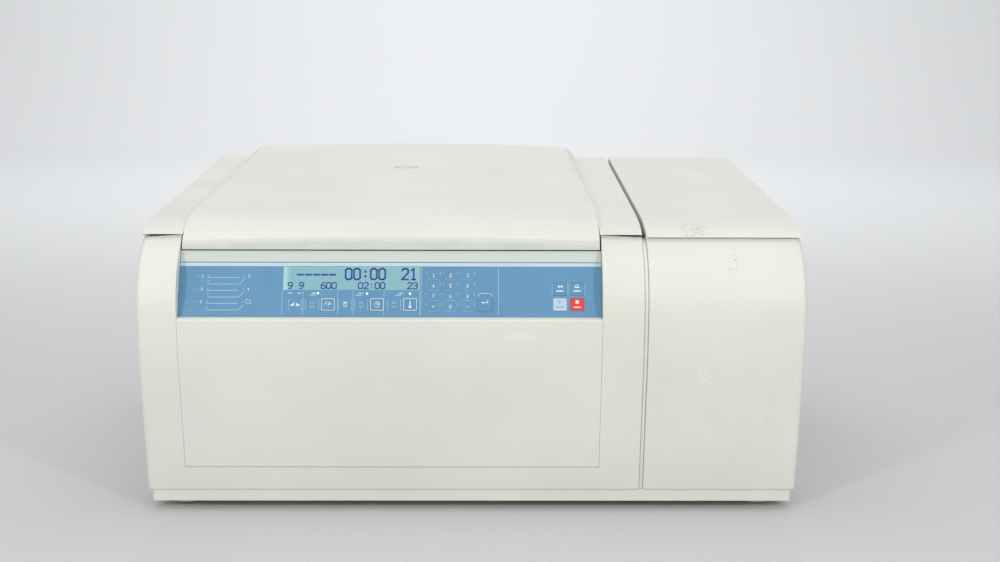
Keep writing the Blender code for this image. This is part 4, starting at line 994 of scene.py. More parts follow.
class CENTRIFUGE_OT_lid(bpy.types.Operator):
    """Model the lid shell, its lip, its liner and the round sight port"""
    bl_idname = "centrifuge.lid"
    bl_label = "Lid"

    def execute(self, context):
        shell = loft("lid_cover", [lid_ring(y, edge, crest, bottom=min(LID_LOW, edge - 0.0025))
                                   for y, edge, crest in lid_stations()])
        inner = [s for s in lid_stations() if FRONT + 0.060 < s[0] < LID_REAR - 0.004]
        carve(shell, loft("cutter", [lid_ring(*s, wall=WALL, bottom=LID_LOW - 0.02) for s in inner]))
        port_top = high("sight_glass").z + 0.0008
        port = (ROTOR.x, ROTOR.y, 0)
        carve(shell, drum("cutter", PORT_RADIUS, port, "Z", 0.29, 0.37))

        def port_rim(a, b):
            on_rim = all(near(hypot(p.x - port[0], p.y - port[1]), PORT_RADIUS)
                         and p.z > port_top - 0.002 for p in (a, b))
            return on_rim and abs(a.z - b.z) < 0.0009
        soften(shell, port_rim, 0.0007, 3)
        for vert in shell.data.vertices:
            vert.co.z -= arch_drop(vert.co.x, vert.co.y)
        done(shell, "lid", "cream_moulding", FINISHES["lid"], "lid_shell")
        self.lip()
        self.liner(port)
        self.port(port, port_top)
        return {"FINISHED"}

    def lip(self):
        """Pale grey lip below the lid's front edge, arched with it."""
        front, back, bottom = FRONT + 0.0423, high("lid_front_strip").y, 0.3033
        rings = []
        for step in range(25):
            x = LID_LEFT + (LID_RIGHT - LID_LEFT) * step / 24
            top = 0.3143 - arch_drop(x, LID_FRONT)
            section = [(front + 0.0002, bottom), (front + 0.0008, top - 0.0012), (front + 0.0022, top),
                       (back, top), (back, 0.3085), (front + 0.0050, bottom)]
            rings.append([Vector((x, y, z)) for y, z in rounded(section, 0.0010, 2, closed=True)])
        done(loft("lid_lip", rings), "lid", "grey_moulding", FINISHES["grey"], "lid_front_strip")

    def liner(self, port):
        lowest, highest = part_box("lid_liner")
        plate_top = 0.3225
        outline = rectangle(lowest.x, highest.x, lowest.y, highest.y, 0.018, 8)
        liner = pull("lid_lining", outline, "Z", lowest.z, plate_top)
        soften(liner, lambda a, b: near(a.z, lowest.z) and near(b.z, lowest.z), 0.0025, 4)
        inner = rectangle(lowest.x + 0.02, highest.x - 0.02, FRONT + 0.155, highest.y - 0.02, 0.01)
        weld(liner, pull("core", inner, "Z", plate_top - 0.001, highest.z))
        wide, narrow = CHAMBER_RADIUS - 0.012, CHAMBER_RADIUS - 0.016
        floor, below = lowest.z + 0.0012, lowest.z - 0.01
        groove = [(wide, floor), (wide, below), (narrow, below), (narrow, floor)]
        ring = spin("cutter", groove, ROTOR, steps=96, closed=True)
        carve(liner, ring, drum("cutter", PORT_RADIUS, port, "Z", 0.29, 0.37))
        done(liner, "lid", "grey_moulding", FINISHES["liner"], "lid_liner")

    def port(self, port, port_top):
        """Clear plug with a polished edge, and the ring that holds it from below."""
        bottom = low("sight_glass").z
        lens = spin("sight_port", [(0, bottom), (0.0146, bottom), (0.0156, bottom + 0.001),
                                   (0.0156, port_top - 0.0016), (0.0149, port_top - 0.0009),
                                   (0.0100, port_top - 0.0007), (0, port_top - 0.0006)], port, steps=64)
        done(lens, "lid", "glass", FINISHES["glass"], "sight_glass")
        collar = [(0.0162, bottom - 0.0001), (0.0190, bottom - 0.0001), (0.0186, bottom - 0.0016),
                  (0.0166, bottom - 0.0016)]
        done(spin("sight_port_collar", collar, port, steps=64, closed=True), "lid", "grey_moulding",
             FINISHES["grey"])


# ---- console ----------------------------------------------------------------------------
def on_console(obj):
    """Lay a piece modelled flat, in x, height and lift, onto the keypad plane."""
    obj.data.transform(CONSOLE)
    return obj


def console_rect(node):
    """Left, right, bottom and top of a node on the keypad plane."""
    corners = [TO_CONSOLE @ vert.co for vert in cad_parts[node].data.vertices]
    xs, heights = [c.x for c in corners], [c.y for c in corners]
    return min(xs), max(xs), min(heights), max(heights)


KEYS = ("key_pulse", "key_open", "key_start", "key_stop", "key_speed", "key_time", "key_temp", "key_enter")
PAD_X, PAD_Y = (-0.0433, -0.0242, -0.0050), (0.0471, 0.0350, 0.0229, 0.0107)    # number keys' middles
PAD_SIZE = (0.0150, 0.0092)
ARROW_X = (-0.1785, -0.1239, -0.0871)
SMALL_KEY_Y = 0.0130
RAMP_X, BUCKET_ICON_X = -0.1975, -0.1417
KEY_TOP = 0.0003                 # key caps above the foil
FOIL_TOP = 0.0759
WINDOW_LOW, WINDOW_HIGH = 0.0299, 0.0576          # open part of the display, up the console


class CENTRIFUGE_OT_console(bpy.types.Operator):
    """Model the slanted console and the printed foil with its raised key fields"""
    bl_idname = "centrifuge.console"
    bl_label = "Console"

    def execute(self, context):
        sizes = context.scene.centrifuge_sizes
        left, right = PANEL_LEFT + GAP, PANEL_RIGHT - GAP
        foil_low = -0.0012
        window = (*console_rect("display_window")[:2], WINDOW_LOW, WINDOW_HIGH)
        foot = CONSOLE @ Vector((0, 0, foil_low - CLEAR))
        head = CONSOLE @ Vector((0, FOIL_TOP + 0.0003, foil_low - CLEAR))
        flange, skin = DECK_Z - 0.0005, 0.004
        outline = rounded([(foot.y, foot.z), (head.y, head.z), (FRONT + 0.060, head.z + 0.0002),
                           (FRONT + 0.0605, flange), (FRONT + 0.092, flange),
                           (FRONT + 0.092, flange - skin), (head.y + skin, flange - skin),
                           (foot.y + skin + 0.002, foot.z)], 0.001, 2, True)
        body = pull("console_bed", outline, "X", left, right)
        carve(body, on_console(block("cutter", (window[0] - 0.002, window[2] - 0.002, -0.02),
                                     (window[1] + 0.002, window[3] + 0.002, 0.01))))
        for x in (-0.250, 0.066):
            carve(body, block("cutter", (x - 0.018, FRONT + 0.065, 0.29), (x + 0.018, FRONT + 0.12, 0.31)))
        for key in KEYS:
            a, b, c, d = console_rect(key)
            well = block("cutter", (a - CLEAR, c - CLEAR, -0.0035), (b + CLEAR, d + CLEAR, 0.01))
            carve(body, on_console(well))
        done(body, "housing", "grey_moulding", FINISHES["strip"], "console_body")
        foil = pull("keypad_sheet", rectangle(left, right, -0.0008, FOIL_TOP), "Z", foil_low, 0.0)
        carve(foil, pull("cutter", rectangle(*window, 0.0012), "Z", -0.01, 0.01))
        for key in KEYS:
            a, b, c, d = console_rect(key)
            hole = rectangle(a - 0.0002, b + 0.0002, c - 0.0002, d + 0.0002, sizes.key_corner)
            carve(foil, pull("cutter", hole, "Z", -0.01, 0.01))
        fields = [(x, y, *PAD_SIZE) for x in PAD_X for y in PAD_Y]
        fields += [(x, SMALL_KEY_Y, 0.0140, 0.0140) for x in (*ARROW_X, RAMP_X, BUCKET_ICON_X)]
        raised, field_top = [], 0.00006
        for x, y, wide, tall in fields:
            outline = rectangle(x - wide / 2, x + wide / 2, y - tall / 2, y + tall / 2, 0.0012, 3)
            field = pull("field", outline, "Z", -0.0001, field_top)
            soften(field, lambda a, b: near(min(a.z, b.z), field_top, 1e-6), 0.00005, 2)
            raised.append(on_console(field))
        sheet = gather("keypad_sheet", [on_console(foil), *raised])
        done(sheet, "housing", "keypad_foil", FINISHES["foil"], "keypad_foil")
        return {"FINISHED"}


# Strokes of each numeral in a box one wide and one high.
NUMERALS = {
    "0": [((0.28, 0), (0.72, 0), (1, 0.14), (1, 0.86), (0.72, 1), (0.28, 1), (0, 0.86), (0, 0.14),
           (0.28, 0))],
    "1": [((0.25, 0.84), (0.60, 1), (0.60, 0)), ((0.30, 0), (0.90, 0))],
    "2": [((0, 0.84), (0.28, 1), (0.72, 1), (1, 0.86), (1, 0.62), (0, 0), (1, 0))],
    "3": [((0, 0.88), (0.28, 1), (0.72, 1), (1, 0.86), (1, 0.64), (0.72, 0.52), (0.36, 0.52)),
          ((0.72, 0.52), (1, 0.38), (1, 0.14), (0.72, 0), (0.28, 0), (0, 0.12))],
    "4": [((0.72, 0), (0.72, 1), (0, 0.32), (1, 0.32))],
    "5": [((1, 1), (0.08, 1), (0.02, 0.56), (0.68, 0.58), (1, 0.42), (1, 0.14), (0.72, 0), (0, 0.06))],
    "6": [((0.92, 0.96), (0.45, 0.98), (0.02, 0.55), (0, 0.14), (0.28, 0), (0.72, 0), (1, 0.14), (1, 0.42),
           (0.72, 0.56), (0.02, 0.50))],
    "7": [((0, 1), (1, 1), (0.38, 0))],
    "8": [((0.28, 0.53), (0, 0.68), (0, 0.86), (0.28, 1), (0.72, 1), (1, 0.86), (1, 0.68), (0.72, 0.53),
           (0.28, 0.53), (0, 0.38), (0, 0.14), (0.28, 0), (0.72, 0), (1, 0.14), (1, 0.38), (0.72, 0.53))],
    "9": [((0.08, 0.04), (0.55, 0.02), (0.98, 0.45), (1, 0.86), (0.72, 1), (0.28, 1), (0, 0.86), (0, 0.58),
           (0.28, 0.44), (0.98, 0.50))],
}


class Print:
    """Flat marks on the keypad plane, gathered into one piece."""

    def __init__(self, bottom, top):
        self.bottom, self.top = bottom, top
        self.bar_source = block("bar", (-0.5, -0.5, 0), (0.5, 0.5, 1))
        self.marks = []

    def line(self, points, width):
        """Straight strokes from corner to corner."""
        for start, end in zip(points, points[1:]):
            start, end = Vector(start), Vector(end)
            run = end - start
            middle = (start + end) / 2
            place = Matrix.Translation((middle.x, middle.y, self.bottom))
            turn = Matrix.Rotation(atan2(run.y, run.x), 4, "Z")
            size = Matrix.Diagonal((run.length + width * 0.9, width, self.top - self.bottom, 1))
            self.marks.append(stamp(self.bar_source, CONSOLE @ place @ turn @ size))

    def frame(self, left, right, bottom, top, width):
        self.line([(left, bottom), (right, bottom), (right, top), (left, top), (left, bottom)], width)

    def shape(self, outline):
        """Filled outline."""
        self.marks.append(on_console(pull("mark", outline, "Z", self.bottom, self.top)))

    def number(self, text, left, bottom, wide, tall, width, pitch=None):
        """Numerals side by side; a colon is two squares."""
        pitch = pitch or wide * 1.45
        for index, character in enumerate(text):
            start = left + index * pitch
            if character == ":":
                for height in (0.28, 0.72):
                    x, y, size = start + wide * 0.5, bottom + tall * height, tall * 0.10
                    self.shape(rectangle(x - size, x + size, y - size, y + size))
                continue
            for stroke in NUMERALS[character]:
                self.line([(start + a * wide, bottom + b * tall) for a, b in stroke], width)

    def finish(self, name, body, slot, material):
        bpy.data.objects.remove(self.bar_source)
        return done(gather(name, self.marks), body, slot, material)


class CENTRIFUGE_OT_display(bpy.types.Operator):
    """Model the lit display and its dark segments"""
    bl_idname = "centrifuge.display"
    bl_label = "Display"

    def execute(self, context):
        left, right = console_rect("display_window")[:2]
        bottom, top = WINDOW_LOW, WINDOW_HIGH
        face = -0.0005
        panel = pull("display_panel", rectangle(left, right, bottom, top, 0.0010), "Z", -0.0045, face)
        soften(panel, lambda a, b: near(a.z, face) and near(b.z, face), 0.0003, 2)
        done(on_console(panel), "housing", "display", FINISHES["display"], "display_window")
        ink = Print(face + 0.00001, face + 0.0001)
        dash, pitch = 0.0077, 0.0090
        for index in range(5):
            start = -0.1964 + index * pitch
            ink.line([(start + 0.0008, 0.0479), (start + dash - 0.0008, 0.0479)], 0.0021)
        big = dict(bottom=0.0425, wide=0.0068, tall=0.0125, width=0.0019)
        ink.number("00:00", left=-0.1419, pitch=0.0094, **big)
        ink.number("21", left=-0.0786, pitch=0.0090, **big)
        small = dict(bottom=0.0317, wide=0.0046, tall=0.0070, width=0.0012)
        ink.number("9", left=-0.2058, **small)
        ink.number("9", left=-0.1932, **small)
        ink.number("600", left=-0.1690, pitch=0.0061, **small)
        ink.number("02:00", left=-0.1272, pitch=0.0062, **small)
        ink.number("23", left=-0.0722, pitch=0.0062, **small)
        ink.finish("display_segments", "housing", "display", FINISHES["ink"])
        return {"FINISHED"}


class CENTRIFUGE_OT_keys(bpy.types.Operator):
    """Model the eight moving keys with their printed frames and symbols"""
    bl_idname = "centrifuge.keys"
    bl_label = "Keys"

    def execute(self, context):
        sizes = context.scene.centrifuge_sizes
        slots = {"key_start": "key_light", "key_stop": "key_red"}
        for key in KEYS:
            left, right, bottom, top = console_rect(key)
            slot = slots.get(key, "key_blue")
            outline = rectangle(left, right, bottom, top, sizes.key_corner)
            cap = pull(key + "_cap", outline, "Z", -0.0022, KEY_TOP)
            soften(cap, lambda a, b: near(min(a.z, b.z), KEY_TOP, 1e-6), 0.0002, 3)
            done(on_console(cap), key, slot, FINISHES[slot], key)
            marks = Print(KEY_TOP + 0.00001, KEY_TOP + 0.00010)
            self.symbol(marks, key, left, right, bottom, top, sizes.print_width)
            finish = "shade" if key == "key_start" else "white"
            marks.finish(key + "_print", key, slot, FINISHES[finish])
        return {"FINISHED"}

    def symbol(self, marks, key, left, right, bottom, top, width):
        """Symbol of one key, and a short bar in the place of its word."""
        x, y = (left + right) / 2, (bottom + top) / 2
        upper = y + 0.0028
        if key in ("key_speed", "key_time", "key_temp"):
            edge = 0.0005
            marks.frame(left + edge, right - edge, bottom + edge, top - edge, width)
        if key == "key_pulse":
            for shift in (-0.0021, 0.0012):
                start = x + shift
                marks.shape([(start, upper - 0.0016), (start + 0.0030, upper), (start, upper + 0.0016)])
            marks.line([(x - 0.0034, y - 0.0024), (x + 0.0034, y - 0.0024)], 0.0013)
        elif key == "key_open":
            marks.shape(rectangle(x - 0.0026, x + 0.0026, upper - 0.0016, upper - 0.0001))
            marks.line([(x - 0.0022, upper + 0.0002), (x - 0.0004, upper + 0.0024),
                        (x + 0.0020, upper + 0.0018)], 0.0007)
            marks.line([(x - 0.0034, y - 0.0024), (x + 0.0034, y - 0.0024)], 0.0013)
        elif key == "key_start":
            marks.shape([(x - 0.0014, upper - 0.0018), (x + 0.0020, upper), (x - 0.0014, upper + 0.0018)])
            marks.line([(x - 0.0042, y - 0.0030), (x + 0.0042, y - 0.0030)], 0.0012)
        elif key == "key_stop":
            marks.shape(rectangle(x - 0.0019, x + 0.0019, upper - 0.0019, upper + 0.0019))
            marks.line([(x - 0.0036, y - 0.0032), (x + 0.0036, y - 0.0032)], 0.0012)
        elif key == "key_speed":
            marks.line(arc((x, y - 0.0012), 0.0036, 20, 160, 8), 0.0008)
            marks.line([(x, y - 0.0012), (x + 0.0020, y + 0.0014)], 0.0009)
        elif key == "key_time":
            marks.line(arc((x, y), 0.0030, 0, 360, 16), 0.0007)
            marks.line([(x, y + 0.0020), (x, y), (x + 0.0014, y)], 0.0007)
        elif key == "key_temp":
            marks.line([(x, y + 0.0034), (x, y - 0.0012)], 0.0012)
            marks.shape(arc((x, y - 0.0024), 0.0017, 0, 337.5, 15))
        elif key == "key_enter":
            for side in (left + 0.0006, right - 0.0006):
                marks.line([(side, top - 0.0008), (side, top - 0.0046)], 0.0005)
            marks.line([(left + 0.0022, top - 0.0006), (right - 0.0022, top - 0.0006)], 0.0005)
            marks.line([(x + 0.0030, y + 0.0018), (x + 0.0030, y - 0.0008), (x - 0.0028, y - 0.0008)],
                       0.0009)
            marks.shape([(x - 0.0040, y - 0.0008), (x - 0.0022, y + 0.0008), (x - 0.0022, y - 0.0024)])


class CENTRIFUGE_OT_keypad_print(bpy.types.Operator):
    """Print the lines, numerals and symbols of the keypad foil"""
    bl_idname = "centrifuge.keypad_print"
    bl_label = "Keypad print"

    def execute(self, context):
        width = context.scene.centrifuge_sizes.print_width
        white, faint = Print(0.00001, 0.00018), Print(0.00001, 0.00016)
        self.programs(white, faint, width)
        self.dividers(faint)
        self.small_keys(white, faint, width)
        self.number_pad(white, faint)
        for key in ("key_pulse", "key_open"):
            left, right, bottom, top = console_rect(key)
            for x in (left - 0.0008, right + 0.0008):
                faint.line([(x, bottom + 0.0010), (x, top - 0.0010)], 0.0004)
        white.finish("keypad_print", "housing", "keypad_foil", FINISHES["white"])
        faint.finish("keypad_print_faint", "housing", "keypad_foil", FINISHES["faint"])
        dome = [(0, 0.00001), (0.0011, 0.00001), (0.0009, 0.0003), (0, 0.0004)]
        places = ((-0.1722, 0.0262), (-0.1175, 0.0258), (-0.0694, 0.0258))
        lamps = [on_console(spin("lamp", dome, (x, y, 0), steps=24)) for x, y in places]
        done(gather("indicator_lamps", lamps), "housing", "keypad_foil", FINISHES["led"])
        return {"FINISHED"}

    def programs(self, white, faint, width):
        """Three pairs of program lines with their numbers, and a folder at the last one."""
        for row in range(3):
            y = 0.0443 - 0.0151 * row
            left = -0.2957 - 0.0003 * row
            for shift, name in ((0, str(2 * row + 1)), (0.0520, str(2 * row + 2))):
                x = left - 0.0071 + shift
                if name == "6":
                    faint.frame(x - 0.0010, x + 0.0042, y + 0.0003, y + 0.0040, 0.0006)
                    faint.line([(x - 0.0010, y + 0.0048), (x + 0.0012, y + 0.0048)], 0.0007)
                else:
                    white.number(name, x, y, 0.0017, 0.0030, 0.0005)
                faint.shape(rectangle(x - 0.0048, x - 0.0038, y + 0.0011, y + 0.0021))
            for height in (y + 0.0018, y - 0.0048):
                faint.line([(left, height - 0.0005), (left, height + 0.0008),
                            (left + 0.0016, height + 0.0008)], 0.0005)
            lower = y - 0.0076
            faint.line([(left, y), (left + 0.0342, y)], width)
            faint.line([(left, lower), (left + 0.0356, lower), (left + 0.0408, y - 0.0018)], width)

    def dividers(self, faint):
        for x in (-0.2120, -0.1886, -0.1500, -0.1329, -0.0984, -0.0584):
            faint.line([(x, 0.0010), (x, 0.0290)], 0.0004)
        faint.line([(-0.0570, 0.0010), (-0.0570, 0.0570)], 0.0005)
        faint.line([(0.0296, 0.0010), (0.0296, 0.0570)], 0.0005)

    def small_keys(self, white, faint, width):
        y = SMALL_KEY_Y
        for x in ARROW_X:
            for sign in (1, -1):
                foot, tip = y + sign * 0.0014, y + sign * 0.0034
                faint.line([(x - 0.0024, foot), (x, tip), (x + 0.0024, foot)], width)
        for sign in (1, -1):
            x = RAMP_X + sign * 0.0012
            white.shape([(x, y - 0.0014), (x, y + 0.0022), (x + sign * 0.0048, y - 0.0014)][::sign])
        x = BUCKET_ICON_X
        white.frame(x - 0.0013, x + 0.0013, y - 0.0024, y + 0.0018, 0.0006)
        white.line([(x - 0.0026, y + 0.0026), (x + 0.0026, y + 0.0026)], 0.0007)
        for x in (*ARROW_X, RAMP_X, BUCKET_ICON_X):
            for side in (-0.0074, 0.0074):
                faint.line([(x + side, y - 0.0068), (x + side, y + 0.0060)], 0.0004)
        for x in (-0.2035, -0.1930, -0.1765, -0.1245, -0.0795):
            faint.line([(x - 0.0020, 0.0262), (x + 0.0020, 0.0262)], 0.0012)
        for x in (-0.1775, -0.1265, -0.0825):
            faint.line([(x - 0.0026, 0.0240), (x + 0.0026, 0.0240)], 0.0010)

    def number_pad(self, white, faint):
        labels = ("123", "456", "789", "-0+")
        for row, y in enumerate(PAD_Y):
            for column, x in enumerate(PAD_X):
                label = labels[row][column]
                if label in "-+":
                    white.line([(x - 0.0014, y), (x + 0.0014, y)], 0.0005)
                    if label == "-":
                        white.line([(x, y - 0.0013), (x, y + 0.0013)], 0.0005)
                else:
                    white.number(label, x - 0.0010, y - 0.0018, 0.0020, 0.0036, 0.0006)
                for side, tall in ((-0.0076, 0.0018), (0.0076, 0.0036)):
                    faint.line([(x + side, y + 0.0040 - tall), (x + side, y + 0.0040)], 0.0005)
                faint.line([(x - 0.0060, y - 0.0050), (x + 0.0060, y - 0.0050)], 0.00025)


# ---- base, panels and fittings ----------------------------------------------------------
class CENTRIFUGE_OT_base(bpy.types.Operator):
    """Model the base pan and the four feet"""
    bl_idname = "centrifuge.base"
    bl_label = "Base"

    def execute(self, context):
        lowest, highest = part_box("base_pan")
        pan = block("base_tray", lowest, highest)
        soften(pan, lambda a, b: abs(a.z - b.z) > 0.001, 0.0030, 5)
        soften(pan, lambda a, b: near(a.z, lowest.z) and near(b.z, lowest.z), 0.0010, 3)
        carve(pan, block("cutter", lowest + Vector((SHEET,) * 3), highest + Vector((-SHEET, -SHEET, 0.01))))
        done(pan, "housing", "cream_sheet", FINISHES["sheet"], "base_pan")
        foot_high = high("foot_front_left").z
        sole = [(0, 0), (0.0185, 0), (0.0205, 0.0006), (0.0219, 0.0020), (0.0225, 0.0036), (0.0225, 0.0062),
                (0.0216, 0.0078), (0.0190, 0.0088), (0.0165, 0.0091), (0.0160, foot_high), (0, foot_high)]
        source = spin("foot", sole, (0, 0, 0), steps=64)
        for node in ("foot_front_left", "foot_front_right", "foot_rear_left", "foot_rear_right"):
            foot = stamp(source, Matrix.Translation((centre_of(node).x, centre_of(node).y, 0)))
            foot.name = foot.data.name = node.replace("foot", "pad")
            done(foot, "housing", "grey_moulding", FINISHES["foot"], node)
        bpy.data.objects.remove(source)
        return {"FINISHED"}


def slot_row(axis, low_end, high_end, start, pitch, count, tall, near_face, far_face):
    """Cutter for a row of long slots with round ends, stacked upwards."""
    outline = rectangle(low_end, high_end, start, start + tall, tall / 2 - 0.0001, 6)
    source = pull("cutter", outline, axis, near_face, far_face)
    rows = [stamp(source, Matrix.Translation((0, 0, pitch * index))) for index in range(count)]
    bpy.data.objects.remove(source)
    return gather("cutter", rows)


def screw(place, axis, sign):
    """Pan-head screw with a cross recess, its head facing along an axis."""
    profile = [(0, 0), (0.0034, 0), (0.0034, 0.0006), (0.0028, 0.0013), (0.0016, 0.0016), (0, 0.0017)]
    head = spin("screw", profile, (0, 0, 0), steps=24)
    for size in ((0.0019, 0.00035), (0.00035, 0.0019)):
        carve(head, block("cutter", (-size[0], -size[1], 0.0008), (size[0], size[1], 0.003)))
    turn = (AXES[axis][2] * sign).to_track_quat("Z", "Y").to_matrix().to_4x4()
    head.data.transform(Matrix.Translation(place) @ turn)
    return head


class CENTRIFUGE_OT_panels(bpy.types.Operator):
    """Model the vented side and rear panels with their screws"""
    bl_idname = "centrifuge.panels"
    bl_label = "Panels"

    def execute(self, context):
        left = self.sheet("left_side_panel", "left_panel")
        carve(left, slot_row("X", 0.12, 0.27, 0.060, 0.012, 6, 0.005, LEFT - 0.01, LEFT + 0.01),
              drum("cutter", 0.0084, (LEFT, PLUG_Y, PLUG_Z), "X", -0.01, 0.01))
        done(left, "housing", "cream_sheet", FINISHES["sheet"], "left_side_panel")
        right = self.sheet("unit_side_panel", "right_panel")
        carve(right, slot_row("X", -0.14, 0.16, 0.075, 0.016, 9, 0.007, RIGHT - 0.01, RIGHT + 0.01))
        done(right, "housing", "cream_sheet", FINISHES["sheet"], "unit_side_panel")
        rear = self.sheet("rear_panel", "rear_wall")
        face = high("rear_panel").y
        carve(rear, slot_row("Y", 0.222, 0.348, 0.110, 0.014, 10, 0.007, face - 0.03, face + 0.01),
              self.passage("power_inlet", 0.0005, 0.0005), self.passage("power_switch", 0.001, 0.0014))
        done(rear, "housing", "cream_sheet", FINISHES["sheet"], "rear_panel")
        places = [(x, z) for x in (-0.355, -0.12, 0.10, 0.185, 0.355) for z in (0.045, 0.296)]
        screws = [screw((x, face - 0.0002, z), "Y", 1) for x, z in places]
        done(gather("rear_screws", screws), "housing", "steel", FINISHES["steel"])
        faces = ((low("left_side_panel").x + 0.0002, -1), (high("unit_side_panel").x - 0.0002, 1))
        sides = [screw((x, y, z), "X", sign) for x, sign in faces
                 for y in (-0.235, 0.305) for z in (0.042, 0.298)]
        done(gather("side_screws", sides), "housing", "steel", FINISHES["steel"])
        return {"FINISHED"}

    def sheet(self, node, name):
        """Panel as large as its node, with softened edges."""
        panel = block(name, *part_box(node))
        round_all(panel, 0.0005)
        return panel

    def passage(self, node, beside, above):
        """Cutter for the hole that a fitting sits in, with some play round it."""
        lowest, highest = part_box(node)
        return block("cutter", (lowest.x - beside, 0.3, lowest.z - above),
                     (highest.x + beside, 0.35, highest.z + above))


class CENTRIFUGE_OT_fittings(bpy.types.Operator):
    """Model the mains inlet, the rocker switch and the lid release plug"""
    bl_idname = "centrifuge.fittings"
    bl_label = "Fittings"

    def execute(self, context):
        lowest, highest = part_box("power_inlet")
        inlet = block("mains_inlet", lowest, highest)
        soften(inlet, lambda a, b: near(a.y, highest.y) and near(b.y, highest.y), 0.0008, 3)
        x, face, z = centre_of("power_inlet").x, highest.y, centre_of("power_inlet").z
        well = [(x - 0.0112, z - 0.0070), (x + 0.0112, z - 0.0070), (x + 0.0112, z + 0.0030),
                (x + 0.0072, z + 0.0070), (x - 0.0072, z + 0.0070), (x - 0.0112, z + 0.0030)]
        carve(inlet, pull("cutter", rounded(well, 0.0012, 3, True), "Y", face - 0.0215, face + 0.01))
        done(inlet, "housing", "black_plastic", FINISHES["black"], "power_inlet")
        pins = [block("pin", (x + dx - 0.0010, face - 0.0225, z + dz - 0.0020),
                      (x + dx + 0.0010, face - 0.0040, z + dz + 0.0020))
                for dx, dz in ((0, 0.0028), (-0.0066, -0.0018), (0.0066, -0.0018))]
        for pin in pins:
            round_all(pin, 0.0003)
        done(gather("inlet_pins", pins), "housing", "steel", FINISHES["chrome"])
        self.switch()
        self.plug()
        return {"FINISHED"}

    def switch(self):
        lowest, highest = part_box("power_switch")
        x, z = centre_of("power_switch").x, 0.0730
        pivot = HOUSING_BACK - 0.0010
        rocker = [(-0.0072, -0.0118), (0.0036, -0.0118), (0.0042, -0.0110), (0.0024, -0.0050),
                  (0.0013, 0.0), (0.0013, 0.0050), (0.0016, 0.0112), (0.0008, 0.0118), (-0.0072, 0.0118)]
        cap = pull("rocker", [(pivot + y, z + up) for y, up in rocker], "X", lowest.x, highest.x)
        round_all(cap, 0.0004, 2, 30)
        done(cap, "switch", "black_plastic", FINISHES["black"], "power_switch")
        bar = block("rocker_mark", (x - 0.0025, pivot + 0.0014, z + 0.0062),
                    (x + 0.0025, pivot + 0.0018, z + 0.0070))
        done(bar, "switch", "black_plastic", FINISHES["white"])
        outer = rectangle(x - 0.0115, x + 0.0115, z - 0.0145, z + 0.0145, 0.0015)
        inner = rectangle(lowest.x - 0.0003, highest.x + 0.0003, z - 0.0123, z + 0.0123, 0.0006)
        rim = pull("rocker_frame", outer, "Y", HOUSING_BACK - 0.0001, HOUSING_BACK + 0.0012)
        carve(rim, pull("cutter", inner, "Y", HOUSING_BACK - 0.01, HOUSING_BACK + 0.01))
        round_all(rim, 0.0003)
        done(rim, "housing", "black_plastic", FINISHES["black"])

    def plug(self):
        face = low("release_plug").x
        head = [(0, 0), (0.0085, 0), (0.0102, 0.0003), (0.0110, 0.0009), (0.0110, 0.0013), (0.0080, 0.0015),
                (0.0080, 0.0155), (0, 0.0155)]
        done(spin("release_cap", head, (face, PLUG_Y, PLUG_Z), "X", 48), "plug", "grey_moulding",
             FINISHES["foot"], "release_plug")


# ---- inside -----------------------------------------------------------------------------
class CENTRIFUGE_OT_chamber(bpy.types.Operator):
    """Model the inner deck, the spun bowl and its seal"""
    bl_idname = "centrifuge.chamber"
    bl_label = "Chamber"

    def execute(self, context):
        lowest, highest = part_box("inner_deck")
        deck = block("chamber_deck", lowest, highest)
        round_all(deck, 0.0006)
        carve(deck, drum("cutter", CHAMBER_RADIUS + 0.0033, ROTOR, "Z", 0.25, 0.35, 128))
        slot_back = high("lid_striker_left").y + 0.012
        for node in ("lid_striker_left", "lid_striker_right"):
            x = centre_of(node).x
            carve(deck, block("cutter", (x - 0.018, FRONT + 0.05, 0.29), (x + 0.018, slot_back, 0.31)))
        for node in ("gas_spring_rod_left", "gas_spring_rod_right"):
            x = centre_of(node).x
            slot = rectangle(x - 0.0097, x + 0.0097, 0.239, 0.291, 0.004)
            carve(deck, pull("cutter", slot, "Z", 0.29, 0.31))
        done(deck, "housing", "deck", FINISHES["deck"], "inner_deck")
        radius, floor, wall, rim = CHAMBER_RADIUS, CHAMBER_FLOOR, 0.0025, DECK_Z - 0.0012
        inner = [(radius, rim)] + arc((radius - 0.020, floor + 0.020), 0.020, 0, -90, 10) + [(0.022, floor)]
        outer = [(0.022, floor - wall)] + arc((radius - 0.020, floor + 0.020), 0.0225, -90, 0, 10)
        outer += [(radius + wall, rim)]
        bowl = spin("chamber_bowl", inner + outer, ROTOR, steps=128, closed=True)
        done(bowl, "housing", "stainless", FINISHES["bowl"], "rotor_chamber")
        top = high("chamber_seal").z
        seal = [(radius - 0.0005, DECK_Z + 0.0003), (radius + 0.0138, DECK_Z + 0.0003),
                (radius + 0.0138, DECK_Z + 0.0034), (radius + 0.0090, top), (radius + 0.0035, top),
                (radius - 0.0005, DECK_Z + 0.0040)]
        ring = spin("lid_seal", rounded(seal, 0.0022, 4, True), ROTOR, steps=128, closed=True)
        done(ring, "housing", "rubber", FINISHES["rubber"], "chamber_seal", angle=60)
        return {"FINISHED"}


